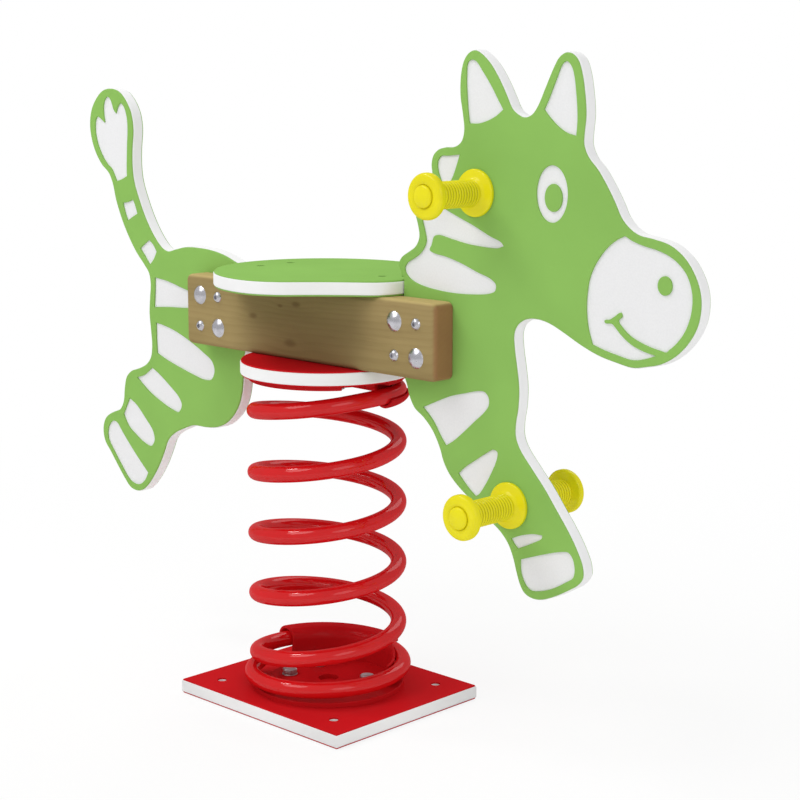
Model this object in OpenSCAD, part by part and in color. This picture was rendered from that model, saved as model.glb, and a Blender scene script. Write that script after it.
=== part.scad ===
// Spring rider: a striped animal board between two timber beams, on one coil spring.
// The head points along +X, +Z is up, and the origin is under the middle of the base plate.

/* [Sheet] */
// Full thickness of the three-layer plastic sheet
sheet_t = 19; // [15:0.5:25]
// Thickness of each coloured skin
skin_t = 2; // [1:0.25:4]
// How far the edge of a skin is eased back from the edge of the core
skin_ease = 1; // [0.25:0.25:3]

/* [Base plate] */
// Length of the base plate along the rider
base_l = 288; // [250:1:420]
// Width of the base plate across the rider
base_w = 248; // [236:1:420]
// Spacing of the anchor holes along the rider
anchor_l = 208; // [200:1:230]
// Spacing of the anchor holes across the rider
anchor_w = 180; // [160:1:210]
// Diameter of an anchor hole
anchor_d = 12; // [8:0.5:16]

/* [Spring] */
// Diameter of the wire
wire_d = 20; // [16:0.5:22]
// Radius of the working coils, at the middle of the wire
coil_r = 90; // [86:1:96]
// Radius of the closed bottom turn, at the middle of the wire
foot_r = 97; // [91:1:104]
// Rise of one working turn
pitch = 78; // [55:0.1:95]
// Working turns between the two clamps
turns = 4.486; // [3.6:0.002:6]
// Part of a turn that lies closed under the lower clamp's mouth
foot_turn = 0.9; // [0.7:0.01:0.92]
// Gap between the closed turn and the turn above it
foot_gap = 1; // [0.5:0.5:5]
// Space under the tip of the wire
foot_clear = 0.6; // [0.5:0.1:6]
// Straight run at each end of the wire
wire_run = 20; // [16:1:26]
// Direction of the lower clamp's mouth, in degrees from the head
mouth_a = 173.4; // [150:0.1:190]

/* [Clamps] */
// Thickness of a clamp floor
clamp_t = 6; // [4:0.5:10]
// Thickness of a clamp wall and its lip
wall_t = 4; // [3:0.5:6]
// Radius of a clamp floor
floor_r = 97; // [90:1:104]
// Angle along which the wall and the lip hold the wire
wrap_a = 90; // [80:1:110]
// Angle along which the wall runs on past the lip and slopes down
tail_a = 64; // [30:1:70]
// Angle cut out of the floor ahead of the mouth
relief_a = 40; // [20:1:60]
// Gap between the wire and the clamp around it
wire_gap = 0.8; // [0.6:0.1:1.2]
// Angle above the level at which the lip over the wire ends
lip_a = 20; // [10:5:50]
// Extra radius of the lower clamp's curl, outside the wire
curl_slack = 2.5; // [0:0.1:3]
// Diameter of the hole in the middle of a clamp floor
drain_d = 26; // [10:1:40]
// Space between the upper clamp's floor and the wire
hook_gap = 4; // [1:0.5:10]
// Angle from the end of the last working turn to the upper clamp's mouth
hook_lead = 19; // [10:1:40]
// Spacing of the clamp bolts along the rider
clamp_l = 90; // [60:1:100]

/* [Top plate] */
// Radius of the round plate under the beams
top_r = 107; // [100:1:125]

/* [Beams] */
// Length of a beam
beam_l = 444; // [420:1:520]
// Height of a beam
beam_h = 91; // [80:1:102]
// Thickness of a beam
beam_t = 32; // [30:1:50]
// Radius of the beam's eased edges
beam_ease = 7; // [2:0.5:10]

/* [Seat] */
// Reach of the seat behind the spring's axis
seat_back = 141; // [125:1:146]
// Reach of the seat in front of the spring's axis
seat_front = 141; // [125:1:146]
// Half of the seat's width
seat_half_w = 136; // [110:1:160]
// Gap between the seat and the board that it is let into
seat_gap = 1.5; // [0.5:0.25:4]
// Distance of the two rear seat screws behind the spring's axis
rear_screw_x = 92; // [80:1:110]
// Distance of the front seat screw ahead of the spring's axis
front_screw_x = 98; // [80:1:110]
// Diameter of a seat screw
screw_d = 5; // [4:0.5:7]
// Length of a seat screw
screw_l = 50; // [40:1:60]

/* [Beam bolts] */
// Distance of each group of bolts from the end of the beam
group_in = 46.5; // [40:0.5:56]
// Spacing of the bolts in a group along the beam
group_l = 35; // [28:1:44]
// Spacing of the bolts in a group up the beam
group_h = 40; // [32:1:46]
// Diameter of the large bolts, the clamp bolts and the lag screws
bolt_d = 10; // [8:0.5:12]
// Diameter of the large bolts' domed heads
dome_d = 24; // [20:0.5:28]
// Height of the large bolts' domed heads
dome_h = 5.4; // [4:0.2:7]
// Diameter of the small screws
button_d = 8; // [6:0.5:9]
// Diameter of the small screws' heads
button_head_d = 14; // [12:0.5:18]
// Height of the small screws' heads
button_head_h = 4.4; // [3:0.2:6]
// Outer diameter of the sleeve nuts
sleeve_d = 10.5; // [10:0.5:13]
// Gap round a bolt or a screw in its hole
hole_gap = 0.25; // [0.1:0.05:1]

/* [Grips and rests] */
// Place of the hand grips along the rider
grip_x = 255.5; // [245:0.5:275]
// Height of the hand grips above the top plate
grip_h = 217; // [200:1:230]
// Place of the foot rests along the rider
rest_x = 310.5; // [300:0.5:322]
// Height of the foot rests above the top plate, so less than zero
rest_h = -133.5; // [-145:0.5:-120]
// Length of a grip from the board to its outer face
grip_l = 86; // [75:1:120]
// Diameter of the flange at the board
flange_d = 54; // [44:1:64]
// Diameter of the outer flange
end_d = 52; // [44:1:64]
// Thickness of the flange at the board
flange_t = 6; // [5:0.5:10]
// Thickness of the outer flange
end_t = 10; // [8:0.5:15]
// Diameter of the ribbed shaft
shaft_d = 31; // [29:0.5:38]
// Number of ribs on a shaft
ribs = 15; // [12:1:24]
// Depth of the grooves between the ribs
rib_depth = 1.5; // [0.4:0.1:1.8]
// Diameter of the rods that carry the grips
rod_d = 12; // [8:0.5:13]
// Diameter of a domed end cap
cap_d = 26; // [25:0.5:34]
// Height of a domed end cap
cap_h = 5; // [3:0.5:9]

/* [Hidden] */
$fn = 96;

core_t = sheet_t - 2 * skin_t;
eps = 0.01;

// Levels, from the ground up
foot_pitch = wire_d + foot_gap;
mouth_h = clamp_t + foot_clear + wire_d / 2 + foot_pitch * foot_turn;
ramp = 0.12;
hook_h = clamp_t + hook_gap + wire_d / 2;
wire_base_z = sheet_t + mouth_h;
wire_top_z = wire_base_z + foot_pitch * ramp / 2 + pitch * (turns - ramp / 2);
under_z = wire_top_z + hook_h;
deck_z = under_z + sheet_t;
seat_z = deck_z + beam_h;

// Sides
face_y = sheet_t / 2;
beam_y = face_y + beam_t / 2;
side_y = face_y + beam_t;
group_x = beam_l / 2 - group_in;

// Fasteners
across_flats = 1.7 * bolt_d;
head_h = 0.64 * bolt_d;
lag_head_h = 0.4 * bolt_d;
nut_h = 0.8 * bolt_d;
washer_d = 2 * bolt_d;
washer_t = 0.16 * bolt_d;
pocket_d = across_flats / cos(30) + 0.2 * bolt_d;
pocket_h = nut_h + 0.1 * bolt_d;
lag_l = clamp_t + sheet_t + 3.5 * bolt_d;
rod_nut_flats = 1.58 * rod_d;
rod_nut_h = 0.83 * rod_d;
spigot_l = 0.125 * rod_d;
recess_r = rod_nut_flats / cos(30) / 2 + 0.8;
recess_l = rod_nut_h + spigot_l + 0.5;

// Smooth closed curve through a list of points, with even steps between each pair.
// A point with a third number is a corner, where the curve may turn sharply.
steps = 3;
function mix(a, b, u) = a + (b - a) * u;
function knot(t, a, b) = t + sqrt(norm(b - a));
function span(a, b, c, d, u) =
  let (
    t1 = knot(0, a, b),
    t2 = knot(t1, b, c),
    t3 = knot(t2, c, d),
    t = mix(t1, t2, u),
    ab = mix(a, b, t / t1),
    bc = mix(b, c, (t - t1) / (t2 - t1)),
    cd = mix(c, d, (t - t2) / (t3 - t2)),
    abc = mix(ab, bc, t / t2),
    bcd = mix(bc, cd, (t - t1) / (t3 - t1))
  )
  mix(abc, bcd, (t - t1) / (t2 - t1));
function flat(v) = [v.x, v.y];
function curve(p) =
  let (n = len(p))
  [for (i = [0 : n - 1])
    let (
      b = flat(p[i]),
      c = flat(p[(i + 1) % n]),
      a = len(p[i]) > 2 ? 2 * b - c : flat(p[(i + n - 1) % n]),
      d = len(p[(i + 1) % n]) > 2 ? 2 * c - b : flat(p[(i + 2) % n]))
    for (k = [0 : steps - 1]) span(a, b, c, d, k / steps)];
function inset(p, d) =
  let (n = len(p))
  [for (i = [0 : n - 1]) let (t = p[(i + 1) % n] - p[(i + n - 1) % n])
    p[i] + d * [t.y, -t.x] / norm(t)];
function oval(x, y, rx, ry) = [for (a = [0 : 10 : 350]) [x + rx * cos(a), y - ry * sin(a)]];

// Outline of the animal, clockwise from the tip of the tail: [along, above the top plate]
tail_rear = [
  [-415, 327], [-397, 323], [-382, 311], [-371, 294], [-367, 272], [-370, 248], [-371, 224],
  [-368, 203], [-357, 177], [-343, 152], [-326, 130], [-311, 117], [-299, 113]
];
back = [
  [-285, 116], [-262, 121], [-232, 122], [-203, 120], [-178, 115], [-160, 109], [-146, 106],
  [-110, 104], [0, 104], [110, 104], [136, 107]
];
mane = [
  [137, 118], [133, 128], [138, 137], [149, 144], [160, 151], [166, 162], [164, 175], [160, 188],
  [161, 202], [168, 215], [179, 225], [186, 234], [185, 246], [188, 257], [196, 264], [208, 267]
];
ears = [
  [221, 268], [231, 274], [235, 286], [233, 303], [229, 325], [230, 350], [235, 365], [243, 373],
  [252, 375], [263, 370], [275, 360], [289, 342], [300, 324], [307, 312], [315, 306], [324, 303],
  [334, 306], [342, 315], [352, 334], [364, 357], [371, 367], [380, 372], [389, 371], [397, 365],
  [403, 352], [408, 328], [410, 306], [408, 286]
];
face = [
  [408, 275], [414, 263], [427, 250], [440, 233], [451, 216], [459, 202], [469, 192], [482, 185],
  [501, 182], [522, 177], [541, 165], [555, 147], [562, 129], [563, 112], [559, 94], [549, 77],
  [534, 62], [515, 51], [496, 46], [478, 43], [456, 46], [432, 51], [407, 60], [383, 71]
];
chest = [
  [363, 79], [346, 82], [330, 80], [319, 73], [314, 63], [315, 46], [319, 24], [322, 2],
  [321, -21], [318, -38], [318, -53], [324, -66]
];
foreleg = [
  [342, -86], [361, -106], [379, -128], [396, -149], [410, -170], [417, -185], [418, -198],
  [411, -208], [396, -218], [376, -229], [358, -236], [344, -237], [333, -233], [326, -224],
  [320, -209], [315, -194], [307, -179], [296, -168], [279, -157], [257, -142], [234, -128],
  [217, -114], [207, -100], [200, -83], [189, -65], [174, -51], [160, -42], [151, -28]
];
belly = [
  [146, -13], [137, 0], [118, 4], [60, 4], [0, 4], [-60, 4], [-120, 4], [-138, 0], [-146, -15],
  [-147, -38]
];
hind_leg = [
  [-150, -61], [-156, -78], [-167, -94], [-184, -108], [-204, -116], [-227, -119], [-251, -120],
  [-274, -128], [-293, -137], [-306, -148], [-315, -165], [-327, -186], [-341, -205], [-355, -220],
  [-367, -228], [-381, -231], [-394, -228], [-406, -218], [-422, -201], [-438, -183], [-450, -170],
  [-454, -157], [-453, -145], [-447, -134], [-437, -127], [-425, -122], [-413, -117]
];
rump = [
  [-405, -105], [-402, -87], [-397, -70], [-386, -60], [-368, -54], [-351, -46], [-341, -35],
  [-338, -19], [-340, 5], [-342, 25], [-340, 47], [-338, 65], [-341, 79], [-351, 90]
];
tail_front = [
  [-367, 105], [-383, 125], [-398, 149], [-410, 175], [-417, 198], [-425, 211], [-439, 221],
  [-452, 236], [-461, 254], [-465, 275], [-461, 296], [-450, 312], [-434, 324]
];
outline = curve(concat(
  tail_rear, back, mane, ears, face, chest, foreleg, belly, hind_leg, rump, tail_front));

// Pattern cut through the skin, each patch a closed curve
patches = [
  // brush of the tail
  [[-407, 201, 1], [-395, 204], [-383, 209, 1], [-383, 222], [-381, 250], [-379, 276], [-381, 291],
   [-386, 302], [-393, 307], [-399, 303], [-403, 296], [-404, 293, 1], [-409, 298], [-414, 309],
   [-420, 315], [-427, 313], [-432, 304], [-432, 291], [-430, 280, 1], [-438, 285], [-446, 288],
   [-451, 282], [-452, 266], [-447, 250], [-438, 235], [-426, 223], [-418, 218], [-411, 208]],
  // bands of the tail
  [[-394, 172, 1], [-382, 174], [-371, 178, 1], [-366, 169], [-362, 159, 1], [-373, 154],
   [-384, 148, 1], [-390, 160]],
  [[-358, 112, 1], [-348, 119], [-338, 125, 1], [-329, 119], [-322, 110, 1], [-329, 99],
   [-338, 91, 1], [-349, 103]],
  // stripes of the hind quarters
  [[-327, 75, 1], [-300, 72], [-272, 66], [-250, 61], [-237, 56], [-233, 50], [-240, 43], [-262, 39],
   [-296, 37], [-330, 34, 1], [-328, 55]],
  [[-327, 13, 1], [-310, 11], [-283, 5], [-250, -7], [-226, -18], [-210, -27], [-205, -39],
   [-211, -51], [-226, -54], [-250, -50], [-280, -43], [-306, -36], [-326, -29, 1], [-327, -8]],
  [[-372, -68, 1], [-355, -62], [-338, -50, 1], [-321, -58], [-298, -72], [-281, -84], [-275, -94],
   [-282, -105], [-298, -103], [-322, -95], [-347, -84]],
  [[-405, -124, 1], [-398, -112], [-390, -99, 1], [-374, -107], [-354, -124], [-339, -139],
   [-336, -152], [-344, -161], [-359, -159], [-378, -150], [-395, -139]],
  [[-443, -159], [-440, -146], [-430, -137], [-420, -138], [-410, -148], [-399, -159], [-376, -180],
   [-352, -200, 1], [-359, -211], [-370, -219], [-382, -221], [-396, -216], [-414, -198],
   [-431, -179], [-440, -168]],
  // mane
  [[196, 250], [201, 256], [213, 257], [230, 259, 1], [225, 246], [218, 231], [208, 220, 1],
   [201, 229], [196, 241]],
  [[172, 182], [172, 195], [181, 205], [194, 203], [209, 196], [230, 188], [252, 180], [276, 170],
   [293, 164], [297, 160, 1], [288, 157], [265, 157], [240, 159], [216, 163], [198, 166], [191, 164],
   [187, 154], [184, 148], [190, 145], [210, 142], [234, 136], [258, 128], [278, 122], [286, 116],
   [285, 109], [276, 105], [252, 102], [226, 101], [200, 102], [175, 105], [157, 110], [147, 117],
   [144, 124], [149, 131], [160, 137], [171, 145], [178, 157], [176, 169]],
  // insides of the ears
  [[241, 361], [247, 364], [254, 362], [263, 352], [276, 336], [287, 320], [294, 310, 1], [284, 303],
   [270, 297], [257, 294], [244, 294, 1], [242, 306], [240, 325], [239, 345]],
  [[377, 360], [383, 362], [389, 357], [393, 347], [396, 329], [398, 309], [398, 295], [397, 284, 1],
   [384, 287], [371, 294], [360, 303], [352, 311, 1], [358, 322], [368, 343]],
  // muzzle, with the smile left standing
  [[424, 63, 1], [418, 80], [415, 100], [416, 121], [420, 138], [429, 154], [441, 168], [453, 177],
   [464, 182, 1], [476, 177], [491, 173], [507, 170], [522, 165], [535, 157], [545, 146], [551, 131],
   [552, 117], [549, 101], [542, 86], [532, 74], [521, 65, 1], [506, 67], [490, 71], [475, 77],
   [464, 85], [458, 92], [463, 97], [461, 101], [453, 96], [446, 92], [440, 91], [441, 88], [450, 88],
   [455, 84], [464, 76], [477, 68], [492, 63], [508, 60, 1], [494, 55], [477, 52], [457, 55],
   [438, 59]],
  // stripes of the foreleg and the hoof
  [[174, -38, 1], [192, -30], [216, -20], [241, -13], [261, -8], [271, -8], [277, -14], [277, -23],
   [270, -32], [256, -44], [240, -58], [224, -71], [211, -79, 1], [204, -71], [190, -52]],
  [[231, -109, 1], [241, -100], [256, -90], [273, -79], [284, -73], [291, -75], [290, -84],
   [283, -99], [273, -116], [264, -128], [258, -132, 1], [247, -124], [238, -116]],
  [[313, -172, 1], [327, -166], [345, -161], [359, -160, 1], [358, -164], [348, -170], [334, -177],
   [323, -182, 1], [318, -178]],
  [[327, -194, 1], [346, -187], [366, -180], [386, -174], [397, -173], [403, -179], [406, -190],
   [404, -200], [393, -208], [374, -219], [354, -226], [342, -227], [334, -221], [328, -209]],
  // eye
  oval(365, 221, 22, 31)
];
// Green left standing inside a patch: the pupil and the nostril
islands = [oval(367, 217, 12, 15), oval(517, 134, 9, 10)];

// Outline of the seat, clockwise from its back: a half oval behind, drawn in to a blunt nose
seat_rear = [for (a = [0 : 15 : 75]) [-seat_back * cos(a), seat_half_w * sin(a)]];
nose_shape = [
  [0, 1], [0.18, 0.96], [0.33, 0.87], [0.47, 0.72], [0.62, 0.57], [0.77, 0.44], [0.9, 0.33],
  [0.98, 0.2], [1, 0.06]
];
seat_side = concat(seat_rear, [for (p = nose_shape) [seat_front * p.x, seat_half_w * p.y]]);
seat_outline = curve(concat(
  seat_side, [for (i = [len(seat_side) - 1 : -1 : 1]) [seat_side[i].x, -seat_side[i].y]]));

// Centre line of the spring's wire, by turns from the lower clamp's mouth
rings = 32;
sides = 8;
wire_end = turns + (hook_lead + wrap_a + 3) / 360;
lead = hook_lead / 360;
function wire_r(t) = mix(coil_r, foot_r, (1 - cos(360 * min(max(t, -0.5), 0))) / 2);
function wire_z(t) =
  t < 0 ? foot_pitch * t :
  t < ramp ? foot_pitch * t + (pitch - foot_pitch) * t * t / (2 * ramp) :
  let (z = foot_pitch * ramp / 2 + pitch * (t - ramp / 2), u = t - (turns - lead))
  u < 0 ? z : u < 2 * lead ? z - pitch * u * u / (4 * lead) : wire_top_z - wire_base_z;
function wire_at(t) = [
  wire_r(t) * cos(mouth_a + 360 * t), wire_r(t) * sin(mouth_a + 360 * t), wire_base_z + wire_z(t)];
function wire_dir(t) = let (d = wire_at(t + 0.002) - wire_at(t - 0.002)) d / norm(d);
wire_n = ceil((wire_end + foot_turn) * rings);
wire_t = [for (i = [0 : wire_n]) -foot_turn + (wire_end + foot_turn) * i / wire_n];
wire_dirs = [for (t = wire_t) wire_dir(t)];
wire_line = concat(
  [wire_at(wire_t[0]) - wire_run * wire_dirs[0]],
  [for (t = wire_t) wire_at(t)],
  [wire_at(wire_t[wire_n]) + wire_run * wire_dirs[wire_n]]);
wire_aim = concat([wire_dirs[0]], wire_dirs, [wire_dirs[wire_n]]);
wire_self_gap = min([
  for (i = [0 : len(wire_line) - 1], j = [i + rings / 2 : 1 : len(wire_line) - 1])
    norm(wire_line[i] - wire_line[j])]) - wire_d;
echo(least_gap_of_the_spring_to_itself = wire_self_gap);

// Clockwise closed tube of even rings along a line, given the direction at each point
module tube(line, aim, d, n) {
  m = len(line);
  rim = [for (i = [0 : m - 1], k = [0 : n - 1])
    let (
      u = cross(aim[i], [0, 0, 1]),
      side = u / norm(u),
      up = cross(side, aim[i]))
    line[i] + d / 2 * (side * cos(360 * k / n) + up * sin(360 * k / n))];
  walls = [for (i = [0 : m - 2], k = [0 : n - 1])
    let (a = i * n + k, b = i * n + (k + 1) % n)
    each [[a, a + n, b], [b, a + n, b + n]]];
  caps = [for (k = [1 : n - 2]) each [[0, k, k + 1], [(m - 1) * n, (m - 1) * n + k + 1, (m - 1) * n + k]]];
  polyhedron(rim, concat(walls, caps), convexity = 10);
}

// Copies at the four corners of a rectangle
module corners(l, w) for (x = [-1, 1], y = [-1, 1]) translate([x * l / 2, y * w / 2, 0]) children();

// A shape that faces out of one side of the board: side -1 is the near one, 1 the far one
module facing(side, y = face_y) rotate([side < 0 ? 90 : -90, 0, 0]) translate([0, 0, y]) children();

// A shape drawn as [along, up], raised off the board towards one side
module upright(side, from, t)
  translate([0, side * from, deck_z]) rotate([90, 0, 0])
    translate([0, 0, side < 0 ? 0 : -t]) linear_extrude(t) children();

module hex(flats, h) cylinder(d = flats / cos(30), h = h, $fn = 6);

// A low dome on a flat round base
module dome(d, h) {
  r = (d * d / 4 + h * h) / (2 * h);
  intersection() {
    translate([0, 0, h - r]) sphere(r);
    cylinder(d = d + 1, h = h + 1);
  }
}

module clamp_places() corners(clamp_l, 2 * beam_y) children();

// Three-layer plates
module base_outline(ease) square([base_l - 2 * ease, base_w - 2 * ease], center = true);

module base_layer(z, t, ease, hole_d) {
  difference() {
    translate([0, 0, z]) linear_extrude(t) base_outline(ease);
    corners(anchor_l, anchor_w) translate([0, 0, z - 1]) cylinder(d = anchor_d, h = t + 2);
    clamp_places() translate([0, 0, z - 1]) cylinder(d = hole_d, h = t + 2);
  }
}

module base_plate_core() {
  color("white") difference() {
    base_layer(skin_t, core_t, 0, bolt_d + 2 * hole_gap);
    clamp_places() translate([0, 0, -1]) cylinder(d = pocket_d, h = pocket_h + 1);
  }
}

module base_plate_top_skin()
  color("firebrick") base_layer(sheet_t - skin_t, skin_t, skin_ease, bolt_d + 2 * hole_gap);

module base_plate_bottom_skin() color("firebrick") base_layer(0, skin_t, skin_ease, pocket_d);

module top_layer(z, t, ease) {
  translate([0, 0, under_z + z]) difference() {
    cylinder(r = top_r - ease, h = t);
    clamp_places() translate([0, 0, -1]) cylinder(d = bolt_d + 2 * hole_gap, h = t + 2);
  }
}

module top_plate_core() color("white") top_layer(skin_t, core_t, 0);

module top_plate_top_skin() color("firebrick") top_layer(sheet_t - skin_t, skin_t, skin_ease);

module top_plate_bottom_skin() color("firebrick") top_layer(0, skin_t, skin_ease);

// Section of a clamp's wall, curled about a middle down to a lip at an angle
function clamp_section(middle, wire_h, inner, outer, lip) = concat(
  [[middle.x - outer, -wire_h - wire_d], [middle.x - inner, -wire_h - wire_d]],
  [for (a = [180 : -10 : lip]) middle + inner * [cos(a), sin(a)]],
  [for (a = [lip : 10 : 180]) middle + outer * [cos(a), sin(a)]]);

// Spring clamp on z = 0: its mouth is at angle 0, and its wall and lip follow the wire clockwise.
// The wire drops by so much in a turn, and its circle is set off from the mouth by a spread.
// The curl is wider than the wire by a slack, and the wire lies against the wall.
module clamp(wire_h, drop, spread, slack) {
  hold_r = coil_r + spread / 2;
  wall_r = coil_r - wire_d / 2 - wire_gap - wall_t / 2;
  middle = [hold_r + slack, -0.4 * slack];
  inner = wire_d / 2 + wire_gap + slack;
  outer = inner + wall_t;
  thin = wall_t / 10;
  half_drop = drop * wrap_a / 720;
  tilt = atan(half_drop / (hold_r * sin(wrap_a / 2)));
  tail_slope = atan(0.6 * wire_d / (hold_r * sin(tail_a / 2)) / 2);
  module held() translate([-spread / 2, 0, wire_h - half_drop])
    rotate(-wrap_a / 2) rotate([tilt, 0, 0]) rotate(-wrap_a / 2) children();
  difference() {
    union() {
      difference() {
        cylinder(r = floor_r, h = clamp_t);
        translate([0, 0, -1]) rotate_extrude(angle = relief_a)
          translate([wall_r, 0]) square([floor_r, clamp_t + 2]);
      }
      intersection() {
        held() {
          rotate_extrude(angle = wrap_a) polygon(clamp_section(middle, wire_h, inner, outer, lip_a));
          difference() {
            rotate(-tail_a) rotate_extrude(angle = tail_a + 1)
              polygon(clamp_section(middle, wire_h, inner + thin, outer - thin, 110));
            rotate(-tail_a / 2) rotate([tail_slope, 0, 0])
              translate([0, -2 * hold_r, 0.35 * wire_d]) cube([2 * hold_r, 4 * hold_r, wire_d]);
          }
        }
        cylinder(r = 2 * floor_r, h = 2 * (wire_h + wire_d));
      }
    }
    translate([0, 0, -1]) cylinder(d = drain_d, h = clamp_t + 2);
  }
}

module lower_spring_clamp() {
  color("firebrick") difference() {
    translate([0, 0, sheet_t]) rotate(mouth_a) clamp(mouth_h, foot_pitch, foot_r - coil_r, curl_slack);
    clamp_places() translate([0, 0, sheet_t - 1]) cylinder(d = bolt_d + 2 * hole_gap, h = clamp_t + 2);
  }
}

module upper_spring_clamp() {
  color("firebrick") difference() {
    translate([0, 0, under_z]) rotate(mouth_a + 360 * turns + hook_lead) rotate([180, 0, 0])
      clamp(hook_h, 0, 0, 0);
    clamp_places() translate([0, 0, under_z - clamp_t - 1])
      cylinder(d = bolt_d + 2 * hole_gap, h = clamp_t + 2);
  }
}

module spring() color("crimson") tube(wire_line, wire_aim, wire_d, sides);

module washer() difference() {
  cylinder(d = washer_d, h = washer_t);
  translate([0, 0, -1]) cylinder(d = bolt_d + 2 * hole_gap, h = washer_t + 2);
}

module lower_clamp_washers()
  color("silver") clamp_places() translate([0, 0, sheet_t + clamp_t]) washer();

module lower_clamp_bolts() {
  color("silver") clamp_places() {
    translate([0, 0, sheet_t + clamp_t + washer_t]) hex(across_flats, head_h);
    translate([0, 0, pocket_h - nut_h])
      cylinder(d = bolt_d, h = sheet_t + clamp_t + washer_t + nut_h - pocket_h);
  }
}

module lower_clamp_nuts() {
  color("silver") clamp_places() translate([0, 0, pocket_h - nut_h]) difference() {
    hex(across_flats, nut_h);
    translate([0, 0, -1]) cylinder(d = bolt_d + 0.1, h = nut_h + 2);
  }
}

module upper_clamp_washers()
  color("silver") clamp_places() translate([0, 0, under_z - clamp_t - washer_t]) washer();

module upper_clamp_screws() {
  color("silver") clamp_places() translate([0, 0, under_z - clamp_t - washer_t]) {
    translate([0, 0, -lag_head_h]) hex(across_flats, lag_head_h);
    cylinder(d = bolt_d, h = washer_t + lag_l);
  }
}

// Places of the beam bolts, seen from the near side
module large_places() for (x = [-group_x, group_x], k = [-1, 1])
  translate([x + k * group_l / 2, 0, deck_z + beam_h / 2 - k * group_h / 2]) children();

module small_places() for (x = [-group_x, group_x], k = [-1, 1])
  translate([x + k * group_l / 2, 0, deck_z + beam_h / 2 + k * group_h / 2]) children();

module round_bar(l, h, r) {
  translate([-l / 2, -h / 2 + r]) square([l, h - 2 * r]);
  translate([-l / 2 + r, -h / 2]) square([l - 2 * r, h]);
  for (x = [-1, 1], y = [-1, 1]) translate([x * (l / 2 - r), y * (h / 2 - r)]) circle(r);
}

module beam(side, small_d) {
  difference() {
    translate([0, side * beam_y, deck_z + beam_h / 2]) intersection() {
      rotate([90, 0, 90]) linear_extrude(beam_l, center = true) round_bar(beam_t, beam_h, beam_ease);
      linear_extrude(beam_h + 2, center = true) round_bar(beam_l, beam_t, beam_ease);
    }
    large_places() rotate([90, 0, 0])
      cylinder(d = bolt_d + 2 * hole_gap, h = 2 * side_y + 2, center = true);
    small_places() rotate([90, 0, 0])
      cylinder(d = small_d + 2 * hole_gap, h = 2 * side_y + 2, center = true);
    clamp_places() translate([0, 0, deck_z - 1])
      cylinder(d = bolt_d + 0.1, h = lag_l - clamp_t - sheet_t + 2);
    rear_screw_places() translate([0, 0, -screw_l]) cylinder(d = screw_d + 0.1, h = screw_l);
  }
}

module near_beam() color("burlywood") beam(-1, button_d);

module far_beam() color("burlywood") beam(1, sleeve_d);

// Board of the animal
module panel_outline(points) {
  difference() {
    polygon(points);
    translate([-seat_back - seat_gap, beam_h - 0.3])
      square([seat_back + seat_front + 2 * seat_gap, sheet_t + seat_gap + 2]);
    for (x = [-group_x, group_x], i = [-1, 1], j = [-1, 1])
      translate([x + i * group_l / 2, beam_h / 2 + j * group_h / 2])
        circle(d = max(sleeve_d, bolt_d) + 2 * hole_gap);
    for (p = [[grip_x, grip_h], [rest_x, rest_h]]) translate(p) circle(d = rod_d + 2 * hole_gap);
  }
}

module panel_core() {
  color("white") difference() {
    upright(-1, -core_t / 2, core_t) panel_outline(outline);
    translate([front_screw_x, 0, seat_z - screw_l]) cylinder(d = screw_d + 0.1, h = screw_l);
  }
}

module panel_skin(side) {
  upright(side, core_t / 2, skin_t) {
    difference() {
      panel_outline(inset(outline, skin_ease));
      for (p = patches) polygon(curve(p));
    }
    for (p = islands) polygon(curve(p));
  }
}

module panel_near_skin() color("yellowgreen") panel_skin(-1);

module panel_far_skin() color("yellowgreen") panel_skin(1);

// Seat
sink = 0.3 * screw_d;
screw_head_d = 2 * screw_d;
screw_head_h = 0.6 * screw_d;
module rear_screw_places()
  for (y = [-beam_y, beam_y]) translate([-rear_screw_x, y, seat_z]) children();

module seat_screw_places() {
  rear_screw_places() children();
  translate([front_screw_x, 0, seat_z]) children();
}

module seat_layer(z, t, ease) {
  difference() {
    translate([0, 0, seat_z + z]) linear_extrude(t) polygon(inset(seat_outline, ease));
    seat_screw_places() {
      translate([0, 0, -1]) cylinder(d = screw_d + 2 * hole_gap, h = sheet_t + 2);
      translate([0, 0, sheet_t - sink - screw_head_h])
        cylinder(d1 = screw_d + 2 * hole_gap, d2 = screw_head_d + 2 * hole_gap, h = screw_head_h + eps);
      translate([0, 0, sheet_t - sink]) cylinder(d = screw_head_d + 2 * hole_gap, h = sink + 1);
    }
  }
}

module seat_core() color("white") seat_layer(skin_t, core_t, 0);

module seat_top_skin() color("yellowgreen") seat_layer(sheet_t - skin_t, skin_t, skin_ease);

module seat_bottom_skin() color("yellowgreen") seat_layer(0, skin_t, skin_ease);

module seat_screws() {
  color("dimgray") seat_screw_places() translate([0, 0, sheet_t - sink]) {
    translate([0, 0, -screw_head_h]) cylinder(d1 = screw_d, d2 = screw_head_d, h = screw_head_h);
    translate([0, 0, -screw_l]) cylinder(d = screw_d, h = screw_l);
  }
}

// Bolts through the beams and the board
module coach_bolts() {
  color("silver") large_places() facing(-1, 0) {
    translate([0, 0, side_y]) dome(dome_d, dome_h);
    translate([0, 0, -side_y - washer_t - nut_h])
      cylinder(d = bolt_d, h = 2 * side_y + washer_t + nut_h + eps);
  }
}

module coach_bolt_washers() color("silver") large_places() facing(1, side_y) washer();

module coach_bolt_nuts() {
  color("silver") large_places() facing(1, side_y + washer_t) difference() {
    union() {
      hex(across_flats, nut_h);
      translate([0, 0, nut_h]) dome(0.9 * across_flats, 0.4 * bolt_d);
    }
    translate([0, 0, -1]) cylinder(d = bolt_d + 0.1, h = nut_h + 1 + eps);
  }
}

module button_head() {
  difference() {
    dome(button_head_d, button_head_h);
    translate([0, 0, 0.4 * button_head_h]) hex(0.6 * button_d, button_head_h);
  }
}

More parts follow.
